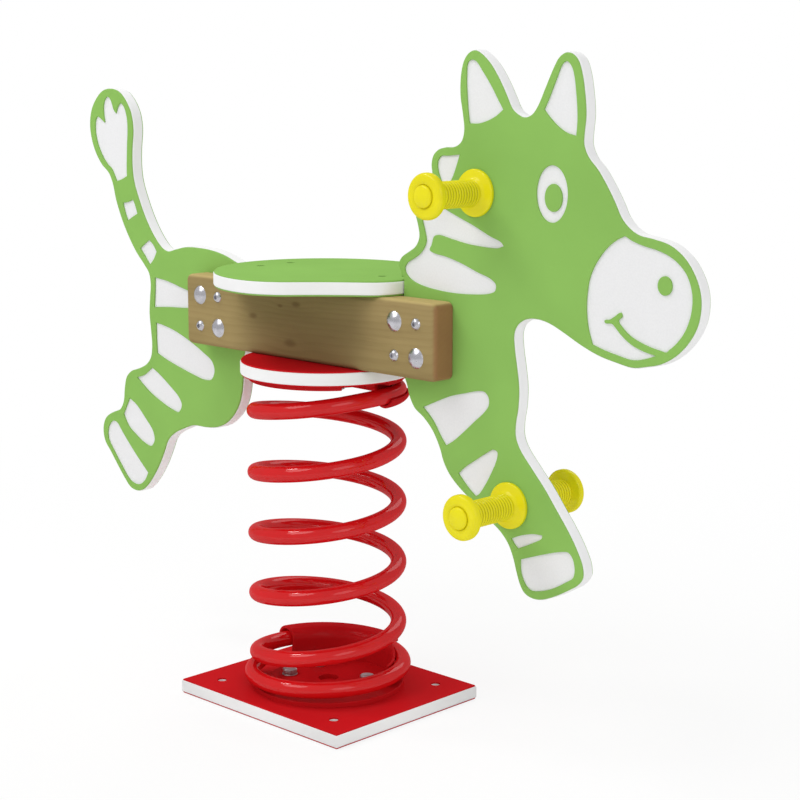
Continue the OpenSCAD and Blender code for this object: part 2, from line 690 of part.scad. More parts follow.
module button_screws() {
  color("silver") small_places() facing(-1, 0) {
    translate([0, 0, side_y]) button_head();
    translate([0, 0, -beam_t / 2]) cylinder(d = button_d, h = side_y + beam_t / 2 + eps);
  }
}

module sleeve_nuts() {
  color("silver") small_places() facing(1, 0) {
    translate([0, 0, side_y]) button_head();
    difference() {
      cylinder(d = sleeve_d, h = side_y + eps);
      translate([0, 0, -1]) cylinder(d = button_d + 0.1, h = 1 + beam_t / 2 + 1);
    }
  }
}

// Grips and rests: half of the section of one, as [out from its axis, out from the board]
rib_step = (grip_l - flange_t - end_t) / ribs;
soft = 2.5;
rim_steps = [15 : 15 : 75];
bore_r = rod_d / 2 + hole_gap;
shaft_r = shaft_d / 2;
flange_r = flange_d / 2;
end_r = end_d / 2;
grip_section = concat(
  [[bore_r, 0], [flange_r - 1, 0], [flange_r, 1], [flange_r, flange_t - soft]],
  [for (a = rim_steps) [flange_r - soft + soft * cos(a), flange_t - soft + soft * sin(a)]],
  [[flange_r - soft, flange_t]],
  [for (i = [0 : ribs - 1]) let (y = flange_t + i * rib_step) each
    [[shaft_r - rib_depth, y], [shaft_r, y + 0.3 * rib_step], [shaft_r, y + 0.7 * rib_step]]],
  [[shaft_r - rib_depth, grip_l - end_t], [end_r - soft, grip_l - end_t]],
  [for (a = rim_steps) [end_r - soft + soft * sin(a), grip_l - end_t + soft - soft * cos(a)]],
  [[end_r, grip_l - end_t + soft], [end_r, grip_l - 2 * soft]],
  [for (a = rim_steps)
    [end_r - 2 * soft + 2 * soft * cos(a), grip_l - 2 * soft + 2 * soft * sin(a)]],
  [[end_r - 2 * soft, grip_l], [recess_r, grip_l], [recess_r, grip_l - recess_l],
   [bore_r, grip_l - recess_l]]);

module grip(x, h, side)
  color("gold") translate([x, 0, deck_z + h]) facing(side) rotate_extrude() polygon(grip_section);

module near_hand_grip() grip(grip_x, grip_h, -1);

module far_hand_grip() grip(grip_x, grip_h, 1);

module near_foot_rest() grip(rest_x, rest_h, -1);

module far_foot_rest() grip(rest_x, rest_h, 1);

rod_end = face_y + grip_l - recess_l + rod_nut_h;
module rod(x, h)
  color("silver") translate([x, 0, deck_z + h]) rotate([90, 0, 0])
    cylinder(d = rod_d, h = 2 * rod_end, center = true);

module grip_rod() rod(grip_x, grip_h);

module rest_rod() rod(rest_x, rest_h);

module rod_nuts() {
  color("silver") for (p = [[grip_x, grip_h], [rest_x, rest_h]], side = [-1, 1])
    translate([p.x, 0, deck_z + p.y]) facing(side, rod_end - rod_nut_h) difference() {
      hex(rod_nut_flats, rod_nut_h);
      translate([0, 0, -1]) cylinder(d = rod_d + 0.1, h = rod_nut_h + 2);
    }
}

module end_caps(x, h) {
  color("gold") for (side = [-1, 1]) translate([x, 0, deck_z + h]) facing(side, face_y + grip_l) {
    dome(cap_d, cap_h);
    translate([0, 0, -spigot_l]) cylinder(r = recess_r - 0.1, h = spigot_l + eps);
  }
}

module grip_caps() end_caps(grip_x, grip_h);

module rest_caps() end_caps(rest_x, rest_h);

base_plate_core();
base_plate_top_skin();
base_plate_bottom_skin();
lower_spring_clamp();
lower_clamp_bolts();
lower_clamp_washers();
lower_clamp_nuts();
spring();
upper_spring_clamp();
upper_clamp_screws();
upper_clamp_washers();
top_plate_core();
top_plate_top_skin();
top_plate_bottom_skin();
near_beam();
far_beam();
panel_core();
panel_near_skin();
panel_far_skin();
seat_core();
seat_top_skin();
seat_bottom_skin();
seat_screws();
coach_bolts();
coach_bolt_washers();
coach_bolt_nuts();
button_screws();
sleeve_nuts();
near_hand_grip();
far_hand_grip();
near_foot_rest();
far_foot_rest();
grip_rod();
rest_rod();
rod_nuts();
grip_caps();
rest_caps();
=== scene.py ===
import math

import bpy
from mathutils import Matrix, Vector
from mathutils.geometry import tessellate_polygon


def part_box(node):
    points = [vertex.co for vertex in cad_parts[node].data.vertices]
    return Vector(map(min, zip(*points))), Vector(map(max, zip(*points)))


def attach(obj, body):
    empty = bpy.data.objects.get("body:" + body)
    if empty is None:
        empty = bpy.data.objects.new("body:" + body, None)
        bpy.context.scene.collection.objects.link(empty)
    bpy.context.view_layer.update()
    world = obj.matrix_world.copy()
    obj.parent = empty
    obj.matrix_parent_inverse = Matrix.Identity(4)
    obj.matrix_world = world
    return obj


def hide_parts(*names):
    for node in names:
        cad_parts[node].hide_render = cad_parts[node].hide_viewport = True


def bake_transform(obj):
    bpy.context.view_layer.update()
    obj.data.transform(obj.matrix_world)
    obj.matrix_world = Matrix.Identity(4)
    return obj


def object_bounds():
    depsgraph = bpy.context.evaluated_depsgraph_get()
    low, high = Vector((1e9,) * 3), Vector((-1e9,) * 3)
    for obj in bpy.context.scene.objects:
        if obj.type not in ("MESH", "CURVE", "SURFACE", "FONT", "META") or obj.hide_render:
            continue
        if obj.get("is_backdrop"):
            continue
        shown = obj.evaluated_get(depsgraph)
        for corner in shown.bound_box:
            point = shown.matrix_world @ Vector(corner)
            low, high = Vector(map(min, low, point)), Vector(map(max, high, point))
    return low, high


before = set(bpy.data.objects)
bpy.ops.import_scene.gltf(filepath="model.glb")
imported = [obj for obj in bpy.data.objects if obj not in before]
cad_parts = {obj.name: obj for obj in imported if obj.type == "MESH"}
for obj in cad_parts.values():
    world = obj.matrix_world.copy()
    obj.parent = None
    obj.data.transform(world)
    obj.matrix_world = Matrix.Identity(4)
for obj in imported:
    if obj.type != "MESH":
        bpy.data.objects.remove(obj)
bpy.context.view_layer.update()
scene = bpy.context.scene
MM = 0.001
FULL_TURN = 360
Y_AXIS, Z_AXIS = 1, 2
NEAR, FAR = -1, 1

# Levels, read from the solids
CORE_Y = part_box("panel_core")[1].y
FACE_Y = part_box("panel_far_skin")[1].y
SIDE_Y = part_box("far_beam")[1].y
BEAM_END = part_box("far_beam")[1].x
PLATE_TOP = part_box("base_plate_top_skin")[1].z
UNDER_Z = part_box("top_plate_bottom_skin")[0].z
DECK_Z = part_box("top_plate_top_skin")[1].z
SEAT_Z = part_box("seat_bottom_skin")[0].z
SEAT_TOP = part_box("seat_top_skin")[1].z
SKIN = 2 * MM

# Spring, sized as in part.scad, with turns counted from the lower clamp's mouth
WIRE_R = 10 * MM
COIL_R = 90 * MM         # working turns, at the middle of the wire
FOOT_R = 97 * MM         # closed bottom turn, at the middle of the wire
PITCH = 78 * MM
FOOT_PITCH = 21 * MM     # closed bottom turn
TURNS = 4.486            # working turns between the clamps
FOOT_TURN = 0.9          # part of a turn that lies closed
RAMP = 0.12              # part of a turn in which the pitch opens
RUN = 20 * MM            # straight run at each end of the wire
MOUTH_A = 173.4          # direction of the lower clamp's mouth, in degrees

# Clamps, sized as in part.scad, with angles in degrees
CLAMP_T = 6 * MM         # floor
WALL_T = 4 * MM          # wall and lip
WIRE_GAP = 0.8 * MM
CURL_SLACK = 2.5 * MM    # extra radius of the lower clamp's curl
FOOT_CLEAR = 0.6 * MM    # space under the tip of the wire
HOOK_GAP = 4 * MM        # space between the upper clamp's floor and the wire
HOOK_LEAD = 19.0         # from the last working turn to the upper clamp's mouth
WRAP_A = 90.0            # along which the lip holds the wire
TAIL_A = 64.0            # along which the wall runs on past the lip
LIP_A = 20.0             # above the level, where the lip ends
TIP_A = 3.0              # from the end of the lip to the wire's straight run
MOUTH_H = CLAMP_T + FOOT_CLEAR + WIRE_R + FOOT_PITCH * FOOT_TURN
HOOK_H = CLAMP_T + HOOK_GAP + WIRE_R
MOUTH_Z = PLATE_TOP + MOUTH_H
LEAD = HOOK_LEAD / FULL_TURN
WIRE_END = TURNS + (HOOK_LEAD + WRAP_A + TIP_A) / FULL_TURN

# Ribs of a grip, from the board and from its outer face
RIBS = 15
RIB_START = 9.6 * MM
RIB_STOP = 11.4 * MM


# Mesh helpers

def add_piece(name, verts, faces, body, look, nodes, normals=None, sharp=None):
    """A closed mesh that rides on a body and stands for CAD nodes. It is shaded by its normals,
    or smoothly but for edges sharper than an angle."""
    slot, material = look
    mesh = bpy.data.meshes.new(name)
    mesh.from_pydata(verts, [], faces)
    mesh.polygons.foreach_set("use_smooth", [True] * len(mesh.polygons))
    mesh.update()
    if normals is not None:
        mesh.normals_split_custom_set_from_vertices(normals)
    else:
        mesh.set_sharp_from_angle(angle=math.radians(sharp))
    mesh.materials.append(material)
    obj = bpy.data.objects.new(name, mesh)
    scene.collection.objects.link(obj)
    if body:
        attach(obj, body)
    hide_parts(*nodes)
    return obj


def area(loop):
    """Area inside a loop, more than zero if it runs anticlockwise."""
    return 0.5 * sum(a.x * b.y - b.x * a.y for a, b in zip(loop, loop[1:] + loop[:1]))


MICRON, PER_METRE = 1e-6, 1e6
LEVEL_SLACK = 8          # microns
LEAST_AREA = 1e-7        # square metres


def face_edges(node, axis, level):
    """Edges round the flat faces of a CAD node at a level, between points in whole microns."""
    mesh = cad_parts[node].data
    keys = [tuple(round(c * PER_METRE) for c in v.co) for v in mesh.vertices]
    want = round(level * PER_METRE)
    edges = {}
    for poly in mesh.polygons:
        ring = [keys[i] for i in poly.vertices]
        if any(abs(key[axis] - want) > LEVEL_SLACK for key in ring):
            continue
        for a, b in zip(ring, ring[1:] + ring[:1]):
            if (b, a) in edges:
                del edges[(b, a)]
            elif a != b:
                edges[(a, b)] = True
    return edges


def flat_loops(node, axis, level):
    """Loops round the flat face of a CAD node at a level, the largest first, with the material
    on their left."""
    after = {}
    for a, b in face_edges(node, axis, level):
        after.setdefault(a, []).append(b)
    other = Y_AXIS + Z_AXIS - axis
    loops = []
    while after:
        start = next(iter(after))
        loop, at = [], start
        while at in after:
            loop.append(Vector((at[0] * MICRON, at[other] * MICRON)))
            nexts = after[at]
            step = nexts.pop()
            if not nexts:
                del after[at]
            at = step
            if at == start:
                break
        if abs(area(loop)) > LEAST_AREA:
            loops.append(loop)
    loops.sort(key=lambda p: -abs(area(p)))
    if area(loops[0]) < 0:
        loops = [p[::-1] for p in loops]
    return loops


def turn(a, b, c):
    """Degrees by which a line turns at b."""
    u, v = b - a, c - b
    return abs(math.degrees(math.atan2(u.x * v.y - u.y * v.x, u.dot(v))))


def spline(a, b, c, d, u, least=1e-9):
    """Point of a smooth curve between b and c, at an even pace between uneven points."""
    t1 = math.sqrt((b - a).length)
    t2 = t1 + math.sqrt((c - b).length)
    t3 = t2 + math.sqrt((d - c).length)
    if min(t1, t2 - t1, t3 - t2) < least:
        return b.lerp(c, u)
    t = t1 + (t2 - t1) * u
    ab = a.lerp(b, t / t1)
    bc = b.lerp(c, (t - t1) / (t2 - t1))
    cd = c.lerp(d, (t - t2) / (t3 - t2))
    abc = ab.lerp(bc, t / t2)
    bcd = bc.lerp(cd, (t - t1) / (t3 - t1))
    return abc.lerp(bcd, (t - t1) / (t2 - t1))


def smooth_loop(loop, steps=3, corner=48.0, straight=30 * MM):
    """The loop with points added on a smooth curve, apart from at its corners and on its long
    straight edges."""
    n = len(loop)
    sharp = [turn(loop[i - 1], loop[i], loop[(i + 1) % n]) > corner for i in range(n)]
    out = []
    for i in range(n):
        j = (i + 1) % n
        b, c = loop[i], loop[j]
        if (c - b).length > straight:
            out.append(b)
            continue
        a = 2 * b - c if sharp[i] else loop[i - 1]
        d = 2 * c - b if sharp[j] else loop[(j + 1) % n]
        out += [spline(a, b, c, d, k / steps) for k in range(steps)]
    return out


def outward(loop, hairpin=0.2, longest=2.0):
    """Directions away from the material at each point, longer at the corners."""
    out = []
    for i in range(len(loop)):
        a, b, c = loop[i - 1], loop[i], loop[(i + 1) % len(loop)]
        u, v = (b - a).normalized(), (c - b).normalized()
        n1, n2 = Vector((u.y, -u.x)), Vector((v.y, -v.x))
        mid = n1 + n2
        if mid.length < hairpin:
            out.append(n1)
            continue
        mid.normalize()
        out.append(mid / max(1 / longest, mid.dot(n1)))
    return out


def arc_steps(width, fine=0.2 * MM, small=0.6 * MM):
    """Angles across a rounding, in more steps where it is wider."""
    count = 1 if width < fine else 2 if width < small else 5
    return [math.pi / 2 * k / count for k in range(count + 1)]


def sheet_mesh(loops, axis, low, high, outer, hole=None, least=1e-14):
    """Mesh of a sheet between two levels. The first loop has the roundings of outer and the others
    those of hole, each as (width, height) at the high face and (width, height) at the low face."""
    verts, faces, normals, top_rings, low_rings = [], [], [], [], []

    def place(p, level):
        return (p.x, level, p.y) if axis == Y_AXIS else (p.x, p.y, level)

    for index, raw in enumerate(loops):
        loop = smooth_loop(raw)
        out = outward(loop)
        (tw, th), (bw, bh) = hole if index else outer
        profile = [(tw * (1 - math.sin(f)), high - th * (1 - math.cos(f)), f) for f in arc_steps(tw)]
        profile += [(bw * (1 - math.sin(f)), low + bh * (1 - math.cos(f)), math.pi - f)
                    for f in reversed(arc_steps(bw))]
        base, n, m = len(verts), len(loop), len(profile)
        for inset, level, f in profile:
            for p, o in zip(loop, out):
                verts.append(place(p - o * inset, level))
                normals.append(Vector(place(o.normalized() * math.sin(f), math.cos(f))).normalized())
        for j in range(m - 1):
            for i in range(n):
                k = (i + 1) % n
                here, below = base + j * n, base + (j + 1) * n
                quad = [here + i, here + k, below + k, below + i]
                faces.append(quad if axis == Y_AXIS else quad[::-1])
        top_rings.append(range(base, base + n))
        low_rings.append(range(base + (m - 1) * n, base + m * n))
    other = Y_AXIS + Z_AXIS - axis
    for rings, is_top in ((top_rings, True), (low_rings, False)):
        flat = [i for ring in rings for i in ring]
        lines = [[Vector((verts[i][0], verts[i][other], 0)) for i in ring] for ring in rings]
        for tri in tessellate_polygon(lines):
            ids = [flat[k] for k in tri]
            a, b, c = (Vector(verts[i]) for i in ids)
            normal = (b - a).cross(c - a)
            if normal.length > least:
                faces.append(ids if (normal[axis] > 0) == is_top else ids[::-1])
    return verts, faces, normals


def sheet(name, source, axis, face, low, high, outer, hole, body, look):
    """A sheet cut to the outline of a CAD node's flat face, with eased edges."""
    loops = flat_loops(source, axis, face)
    verts, faces, normals = sheet_mesh(loops, axis, low, high, outer, hole)
    add_piece(name, verts, faces, body, look, [source], normals=normals)


HEX = True
SIXTH = math.pi / 3


def turned(profile, places, sides=48, ring=False):
    """Rings of (radius, height), or (half width, height, HEX) where six-sided, turned about the axis
    of each place, with flat ends, or closed on themselves as a ring."""
    verts, faces = [], []
    for place in places:
        base, count = len(verts), len(profile)
        for radius, height, *six_sided in profile:
            for k in range(sides):
                a = math.tau * k / sides
                r = radius
                if six_sided:
                    r /= math.cos((a + SIXTH / 2) % SIXTH - SIXTH / 2)
                verts.append(place @ Vector((r * math.cos(a), r * math.sin(a), height)))
        for j in range(count if ring else count - 1):
            up = (j + 1) % count
            for k in range(sides):
                n = (k + 1) % sides
                faces.append([base + j * sides + k, base + j * sides + n,
                              base + up * sides + n, base + up * sides + k])
        if not ring:
            faces.append([base + k for k in reversed(range(sides))])
            faces.append([base + (count - 1) * sides + k for k in range(sides)])
    return verts, faces


def swept(rings):
    """Tube through closed rings of equal length, with flat ends."""
    n, m = len(rings[0]), len(rings)
    verts = [p for ring in rings for p in ring]
    faces = []
    for j in range(m - 1):
        for k in range(n):
            i = (k + 1) % n
            faces.append([j * n + k, (j + 1) * n + k, (j + 1) * n + i, j * n + i])
    for ring, start, way in ((rings[0], 0, rings[0][0] - rings[1][0]),
                             (rings[-1], (m - 1) * n, rings[-1][0] - rings[-2][0])):
        for tri in tessellate_polygon([ring]):
            ids = [start + k for k in tri]
            a, b, c = (verts[i] for i in ids)
            faces.append(ids if (b - a).cross(c - a).dot(way) > 0 else ids[::-1])
    return verts, faces


def outwards_at(x, z, y, side):
    """Place with its axis out of the near or the far side of the board."""
    quarter = Matrix.Rotation(math.radians(90 if side == NEAR else -90), 4, "X")
    return Matrix.Translation((x, side * y, z)) @ quarter


def upwards_at(x, y, z):
    """Place with its axis upright."""
    return Matrix.Translation((x, y, z))


def downwards_at(x, y, z):
    """Place with its axis straight down."""
    return Matrix.Translation((x, y, z)) @ Matrix.Rotation(math.pi, 4, "X")


# Materials

class Shader:
    """A material's node tree, with short ways to add and link nodes."""

    # Sockets of a mix node that carry colours
    COLOR_A, COLOR_B, COLOR_OUT = 6, 7, 2

    def __init__(self, name, **sockets):
        self.material = bpy.data.materials.new(name)
        self.material.use_nodes = True
        self.tree = self.material.node_tree
        self.bsdf = self.tree.nodes["Principled BSDF"]
        for key, value in sockets.items():
            self.bsdf.inputs[key.replace("_", " ")].default_value = value
        self.where = self.add("ShaderNodeTexCoord").outputs["Object"]

    def add(self, kind, settings=None, **inputs):
        node = self.tree.nodes.new(kind)
        for key, value in (settings or {}).items():
            setattr(node, key, value)
        for key, value in inputs.items():
            self.put(node.inputs[key], value)
        return node

    def put(self, socket, value):
        if isinstance(value, bpy.types.NodeSocket):
            self.tree.links.new(value, socket)
        else:
            socket.default_value = value

    def axes(self):
        return self.add("ShaderNodeSeparateXYZ", Vector=self.where).outputs

    def scaled(self, x, y, z):
        return self.add("ShaderNodeMapping", Vector=self.where, Scale=(x, y, z)).outputs[0]

    def noise(self, scale, detail=2.0, rough=0.5, where=None, distortion=0.0):
        return self.add("ShaderNodeTexNoise", Vector=where or self.where, Scale=scale, Detail=detail,
                        Roughness=rough, Distortion=distortion).outputs[0]

    def streaks(self, x, y, z, detail, rough=0.5, distortion=0.0):
        """Noise with its own number of waves per metre along each axis."""
        return self.noise(1.0, detail, rough, self.scaled(x, y, z), distortion)

    def math(self, operation, a, b=0.0):
        node = self.add("ShaderNodeMath", {"operation": operation})
        self.put(node.inputs[0], a)
        self.put(node.inputs[1], b)
        return node.outputs[0]

    def length(self, a, b):
        """Length of the line whose two parts are a and b."""
        squares = self.math("POWER", a, 2.0), self.math("POWER", b, 2.0)
        return self.math("SQRT", self.math("ADD", *squares))

    def span(self, value, low, high, to_low=0.0, to_high=1.0):
        node = self.add("ShaderNodeMapRange", {"interpolation_type": "SMOOTHSTEP"}, Value=value)
        limits = {"From Min": low, "From Max": high, "To Min": to_low, "To Max": to_high}
        for key, number in limits.items():
            node.inputs[key].default_value = number
        return node.outputs[0]

    def mix(self, factor, a, b):
        node = self.add("ShaderNodeMix", {"data_type": "RGBA"})
        self.put(node.inputs[0], factor)
        self.put(node.inputs[self.COLOR_A], a)
        self.put(node.inputs[self.COLOR_B], b)
        return node.outputs[self.COLOR_OUT]

    def mottled(self, clouds, color, dark, light):
        """A colour that drifts between a darker and a lighter shade of itself."""
        return self.mix(self.span(clouds, 0.3, 0.7), shade(color, dark), shade(color, light))

    def bump(self, height, distance, strength, normal=None):
        node = self.add("ShaderNodeBump", Height=height, Distance=distance, Strength=strength)
        if normal is not None:
            self.put(node.inputs["Normal"], normal)
        return node.outputs[0]

    def finish(self, color, rough, normal):
        self.put(self.bsdf.inputs["Base Color"], color)
        self.put(self.bsdf.inputs["Roughness"], rough)
        self.put(self.bsdf.inputs["Normal"], normal)
        return self.material


def rgb(r, g, b):
    """A colour written as 0 to 255 on a screen."""
    def linear(c):
        c /= 255
        return c / 12.92 if c <= 0.04045 else ((c + 0.055) / 1.055) ** 2.4
    return (linear(r), linear(g), linear(b), 1.0)


def shade(color, k):
    """A colour made darker or lighter."""
    return tuple(min(1.0, c * k) for c in color[:3]) + (1.0,)


def sheet_skin(name, color):
    """Coloured polyethylene skin: fine orange peel, faint clouds and hairline scuffs."""
    s = Shader(name, Specular_IOR_Level=0.0, Coat_Weight=0.04, Coat_Roughness=0.35)
    clouds = s.noise(7.0, detail=3.0)
    base = s.mottled(clouds, color, 0.965, 1.035)
    field = s.streaks(34, 34, 210, detail=6.0, rough=0.62, distortion=0.4)
    scuffs = s.span(field, 0.66, 0.76, 0.0, 0.14)
    base = s.mix(scuffs, base, shade(color, 1.2))
    rough = s.math("ADD", s.span(clouds, 0.2, 0.8, 0.42, 0.52), scuffs)
    peel = s.noise(620.0, rough=0.55)
    return s.finish(base, rough, s.bump(peel, distance=0.12 * MM, strength=0.35))


def sheet_core(name, color, floor=None):
    """Off-white core: sawn edges with fine tool lines, and milled floors a little duller."""
    s = Shader(name, Specular_IOR_Level=0.0, Coat_Weight=0.08, Coat_Roughness=0.4)
    clouds = s.noise(9.0, detail=3.0)
    lines = s.streaks(60, 1500, 60, detail=3.0, rough=0.6)
    paths = s.noise(420.0)
    base = s.mottled(clouds, color, 0.975, 1.01)
    base = s.mix(s.span(lines, 0.55, 0.8, 0.0, 0.25), base, shade(color, 0.94))
    if floor is not None:
        off_middle = s.math("ABSOLUTE", s.axes()[Y_AXIS])
        milled = s.mix(s.span(paths, 0.35, 0.65), shade(floor, 0.985), shade(floor, 1.01))
        base = s.mix(s.span(off_middle, CORE_Y - 0.25 * MM, CORE_Y - 0.05 * MM), base, milled)
    normal = s.bump(paths, distance=0.08 * MM, strength=0.25)
    normal = s.bump(lines, distance=0.06 * MM, strength=0.3, normal=normal)
    return s.finish(base, s.span(clouds, 0.2, 0.8, 0.45, 0.58), normal)


def powder_coat(name, color, gloss):
    """Glossy powder coat: orange peel, slightly deeper in patches, dulled in places."""
    s = Shader(name, Specular_IOR_Level=0.0, Coat_Weight=gloss, Coat_Roughness=0.07, Coat_IOR=2.5)
    clouds = s.noise(12.0, detail=3.0)
    base = s.mottled(clouds, color, 0.94, 1.04)
    dust = s.span(s.noise(160.0, detail=5.0, rough=0.6), 0.62, 0.8, 0.0, 0.18)
    base = s.mix(dust, base, shade(color, 0.8))
    rough = s.math("ADD", s.span(clouds, 0.2, 0.8, 0.28, 0.38), dust)
    return s.finish(base, rough, s.bump(s.noise(420.0), distance=0.08 * MM, strength=0.12))


def moulded(name, color, groove_shade_color, length):
    """Moulded plastic: satin gloss, fine spark texture, grime in patches and painted shade between the
    ribs.
    """
    s = Shader(name, Specular_IOR_Level=0.0, Coat_Weight=0.15, Coat_Roughness=0.14, Coat_IOR=2.0)
    clouds = s.noise(30.0, detail=3.0)
    base = s.mottled(clouds, color, 0.95, 1.03)
    grime = s.span(s.noise(90.0, detail=4.0, rough=0.6), 0.60, 0.82, 0.0, 0.2)
    base = s.mix(grime, base, shade(color, 0.72))
    off_middle = s.math("ABSOLUTE", s.axes()[Y_AXIS])
    start, stop, fade = FACE_Y + RIB_START, FACE_Y + length - RIB_STOP, 0.2 * MM
    past_start = s.math("SUBTRACT", off_middle, start)
    wave = s.math("FRACT", s.math("MULTIPLY", past_start, RIBS / (stop - start)))
    groove_shade = s.span(s.math("ABSOLUTE", s.math("SUBTRACT", wave, 0.5)), 0.30, 0.5)
    ribbed = s.math("MULTIPLY", s.span(off_middle, start - fade, start),
                    s.span(off_middle, stop, stop + fade, 1.0, 0.0))
    # Painted shade in the grooves between the ribs
    base = s.mix(s.math("MULTIPLY", s.math("MULTIPLY", groove_shade, ribbed), 0.75), base, groove_shade_color)
    rough = s.math("ADD", s.span(clouds, 0.2, 0.8, 0.32, 0.42), grime)
    return s.finish(base, rough, s.bump(s.noise(1300.0), distance=0.05 * MM, strength=0.3))


def steel(name, color, rough_low, rough_high):
    """Steel with faint smears and small scratches."""
    s = Shader(name, Metallic=1.0)
    smear = s.noise(60.0, detail=4.0, rough=0.6)
    scratch = s.streaks(900, 160, 900, detail=4.0, rough=0.7)
    base = s.mix(s.span(smear, 0.3, 0.75), color, shade(color, 0.8))
    rough = s.span(smear, 0.25, 0.75, rough_low, rough_high)
    return s.finish(base, rough, s.bump(scratch, distance=0.03 * MM, strength=0.25))


RINGS_PER_M = 150.0
RING_SWAY = 46 * MM              # how far the rings wander
KNOT_STRETCH = 0.45              # distances along the fibres count less, so knots are long
SEAT_SHADOW_SPAN = 85 * MM, 140 * MM      # from the middle of the beam, between which the painted shadow of the seat fades out
LIT_TOP_BAND = 4 * MM, 0.5 * MM      # below the top, between which the painted light on the top fades in
END_BAND = 4.5 * MM, 0.4 * MM    # before the end, between which the brown fades in


def timber(name, pith, knots):
    """Planed softwood: growth rings about a pith, fibres along the beam and knots. It has a painted shadow
    under the seat, painted light along the top and brown ends. The pith is (y, height) and a knot is
    (x, height, radius), with heights above the deck."""
    s = Shader(name, Specular_IOR_Level=0.0, Coat_Weight=0.06, Coat_Roughness=0.45)
    x, y, z = s.axes()
    height = s.math("SUBTRACT", z, DECK_Z)
    sway = s.streaks(3.2, 9, 9, detail=2.0)
    push = s.math("MULTIPLY", s.math("SUBTRACT", sway, 0.5), RING_SWAY)
    spot = 0.0
    for knot_x, knot_h, knot_r in knots:
        along = s.math("MULTIPLY", s.math("SUBTRACT", x, knot_x), KNOT_STRETCH)
        away = s.length(along, s.math("SUBTRACT", height, knot_h))
        push = s.math("ADD", push, s.span(away, 0.0, knot_r * 3.6, knot_r * 0.9, 0.0))
        spot = s.math("MAXIMUM", spot, s.span(away, knot_r * 0.2, knot_r, 1.0, 0.0))
    pith_y, pith_h = pith
    from_pith = s.length(s.math("SUBTRACT", y, pith_y),
                         s.math("ADD", s.math("SUBTRACT", height, pith_h), push))
    wave = s.math("FRACT", s.math("MULTIPLY", from_pith, RINGS_PER_M))
    late = s.math("MULTIPLY", s.span(wave, 0.30, 0.86), s.span(wave, 1.0, 0.9))
    fibre = s.streaks(14, 620, 620, detail=5.0, rough=0.65)
    tone = s.streaks(4, 26, 26, detail=3.0)
    from_middle = s.math("ABSOLUTE", x)
    # Mask of the painted light along the top face
    top = s.span(z, SEAT_Z - LIT_TOP_BAND[0], SEAT_Z - LIT_TOP_BAND[1], 0.0, 0.8)
    ends = s.span(from_middle, BEAM_END - END_BAND[0], BEAM_END - END_BAND[1])
    dark = rgb(120, 98, 62)
    base = s.mix(s.span(tone, 0.3, 0.7), rgb(160, 140, 95), rgb(146, 127, 85))
    base = s.mix(s.math("MULTIPLY", late, 0.13), base, dark)
    base = s.mix(s.span(fibre, 0.5, 0.78, 0.0, 0.28), base, dark)
    # Painted shadow of the seat over the middle of the beam
    base = s.mix(s.span(from_middle, *SEAT_SHADOW_SPAN, 0.38, 0.0), base, rgb(98, 82, 54))
    base = s.mix(s.math("MULTIPLY", spot, 0.45), base, rgb(88, 64, 38))
    # Painted light along the top face
    base = s.mix(top, base, rgb(198, 176, 119))
    base = s.mix(s.math("MULTIPLY", ends, 0.8), base, rgb(150, 106, 74))
    relief = s.math("SUBTRACT", fibre, s.math("MULTIPLY", late, 0.35))
    normal = s.bump(relief, distance=0.2 * MM, strength=0.4)
    return s.finish(base, s.span(fibre, 0.2, 0.8, 0.50, 0.68), normal)


# Looks: a slot name, which nothing here uses, and the material of a piece in it

OFF_WHITE = rgb(238, 238, 238)
GREEN = "green_skin", sheet_skin("green_skin", rgb(138, 184, 93))
RED_SHEET = "red_skin", sheet_skin("red_skin", rgb(196, 25, 31))
WHITE = "white_core", sheet_core("white_core", OFF_WHITE)
WHITE_BOARD = "white_core", sheet_core("white_board", OFF_WHITE, floor=rgb(230, 230, 231))
RED_CLAMP = "red_clamp", powder_coat("red_clamp", rgb(188, 24, 29), gloss=0.025)
RED_SPRING = "red_spring", powder_coat("red_spring", rgb(203, 19, 23), gloss=0.15)
YELLOW = {}
for title in ("hand_grip", "foot_rest"):
    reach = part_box("far_" + title)[1].y - FACE_Y
    # The second colour is painted shade for the grooves between the ribs
    plastic = moulded(title + "_plastic", rgb(229, 218, 28), rgb(150, 138, 10), reach)
    YELLOW[title] = "yellow_plastic", plastic
BRIGHT = "steel", steel("bright_steel", rgb(198, 197, 203), 0.20, 0.32)
DULL = "screw_steel", steel("screw_steel", rgb(120, 120, 122), 0.38, 0.52)
ZINC = "steel", steel("zinc_steel", rgb(180, 176, 179), 0.34, 0.48)
NEAR_WOOD = "timber", timber("near_timber", (30 * MM, -45 * MM), [
    (-89.6 * MM, 48.6 * MM, 5 * MM), (-38.9 * MM, 65.5 * MM, 3 * MM),
    (-9.7 * MM, 69.8 * MM, 5 * MM), (-21.2 * MM, 20.9 * MM, 7 * MM)])
FAR_WOOD = "timber", timber("far_timber", (-45 * MM, 160 * MM), [
    (-131 * MM, 31 * MM, 7 * MM), (36 * MM, 66 * MM, 5 * MM), (124 * MM, 23 * MM, 8 * MM)])

# Three-layer sheets, with roundings as (width, height)

CLEAN = (0.15 * MM, 0.15 * MM)
SOFT = (1.3 * MM, 1.7 * MM)
CUT = (0.35 * MM, 0.35 * MM)
CORE = (1.0 * MM, 1.6 * MM)

sheet("panel_core_board", "panel_core", Y_AXIS, -CORE_Y, -CORE_Y, CORE_Y,
      (CORE, CORE), (CLEAN, CLEAN), "rider", WHITE_BOARD)
sheet("panel_near_face", "panel_near_skin", Y_AXIS, -FACE_Y, -FACE_Y, -CORE_Y,
      (CLEAN, SOFT), (CLEAN, CUT), "rider", GREEN)
sheet("panel_far_face", "panel_far_skin", Y_AXIS, FACE_Y, CORE_Y, FACE_Y,
      (SOFT, CLEAN), (CUT, CLEAN), "rider", GREEN)

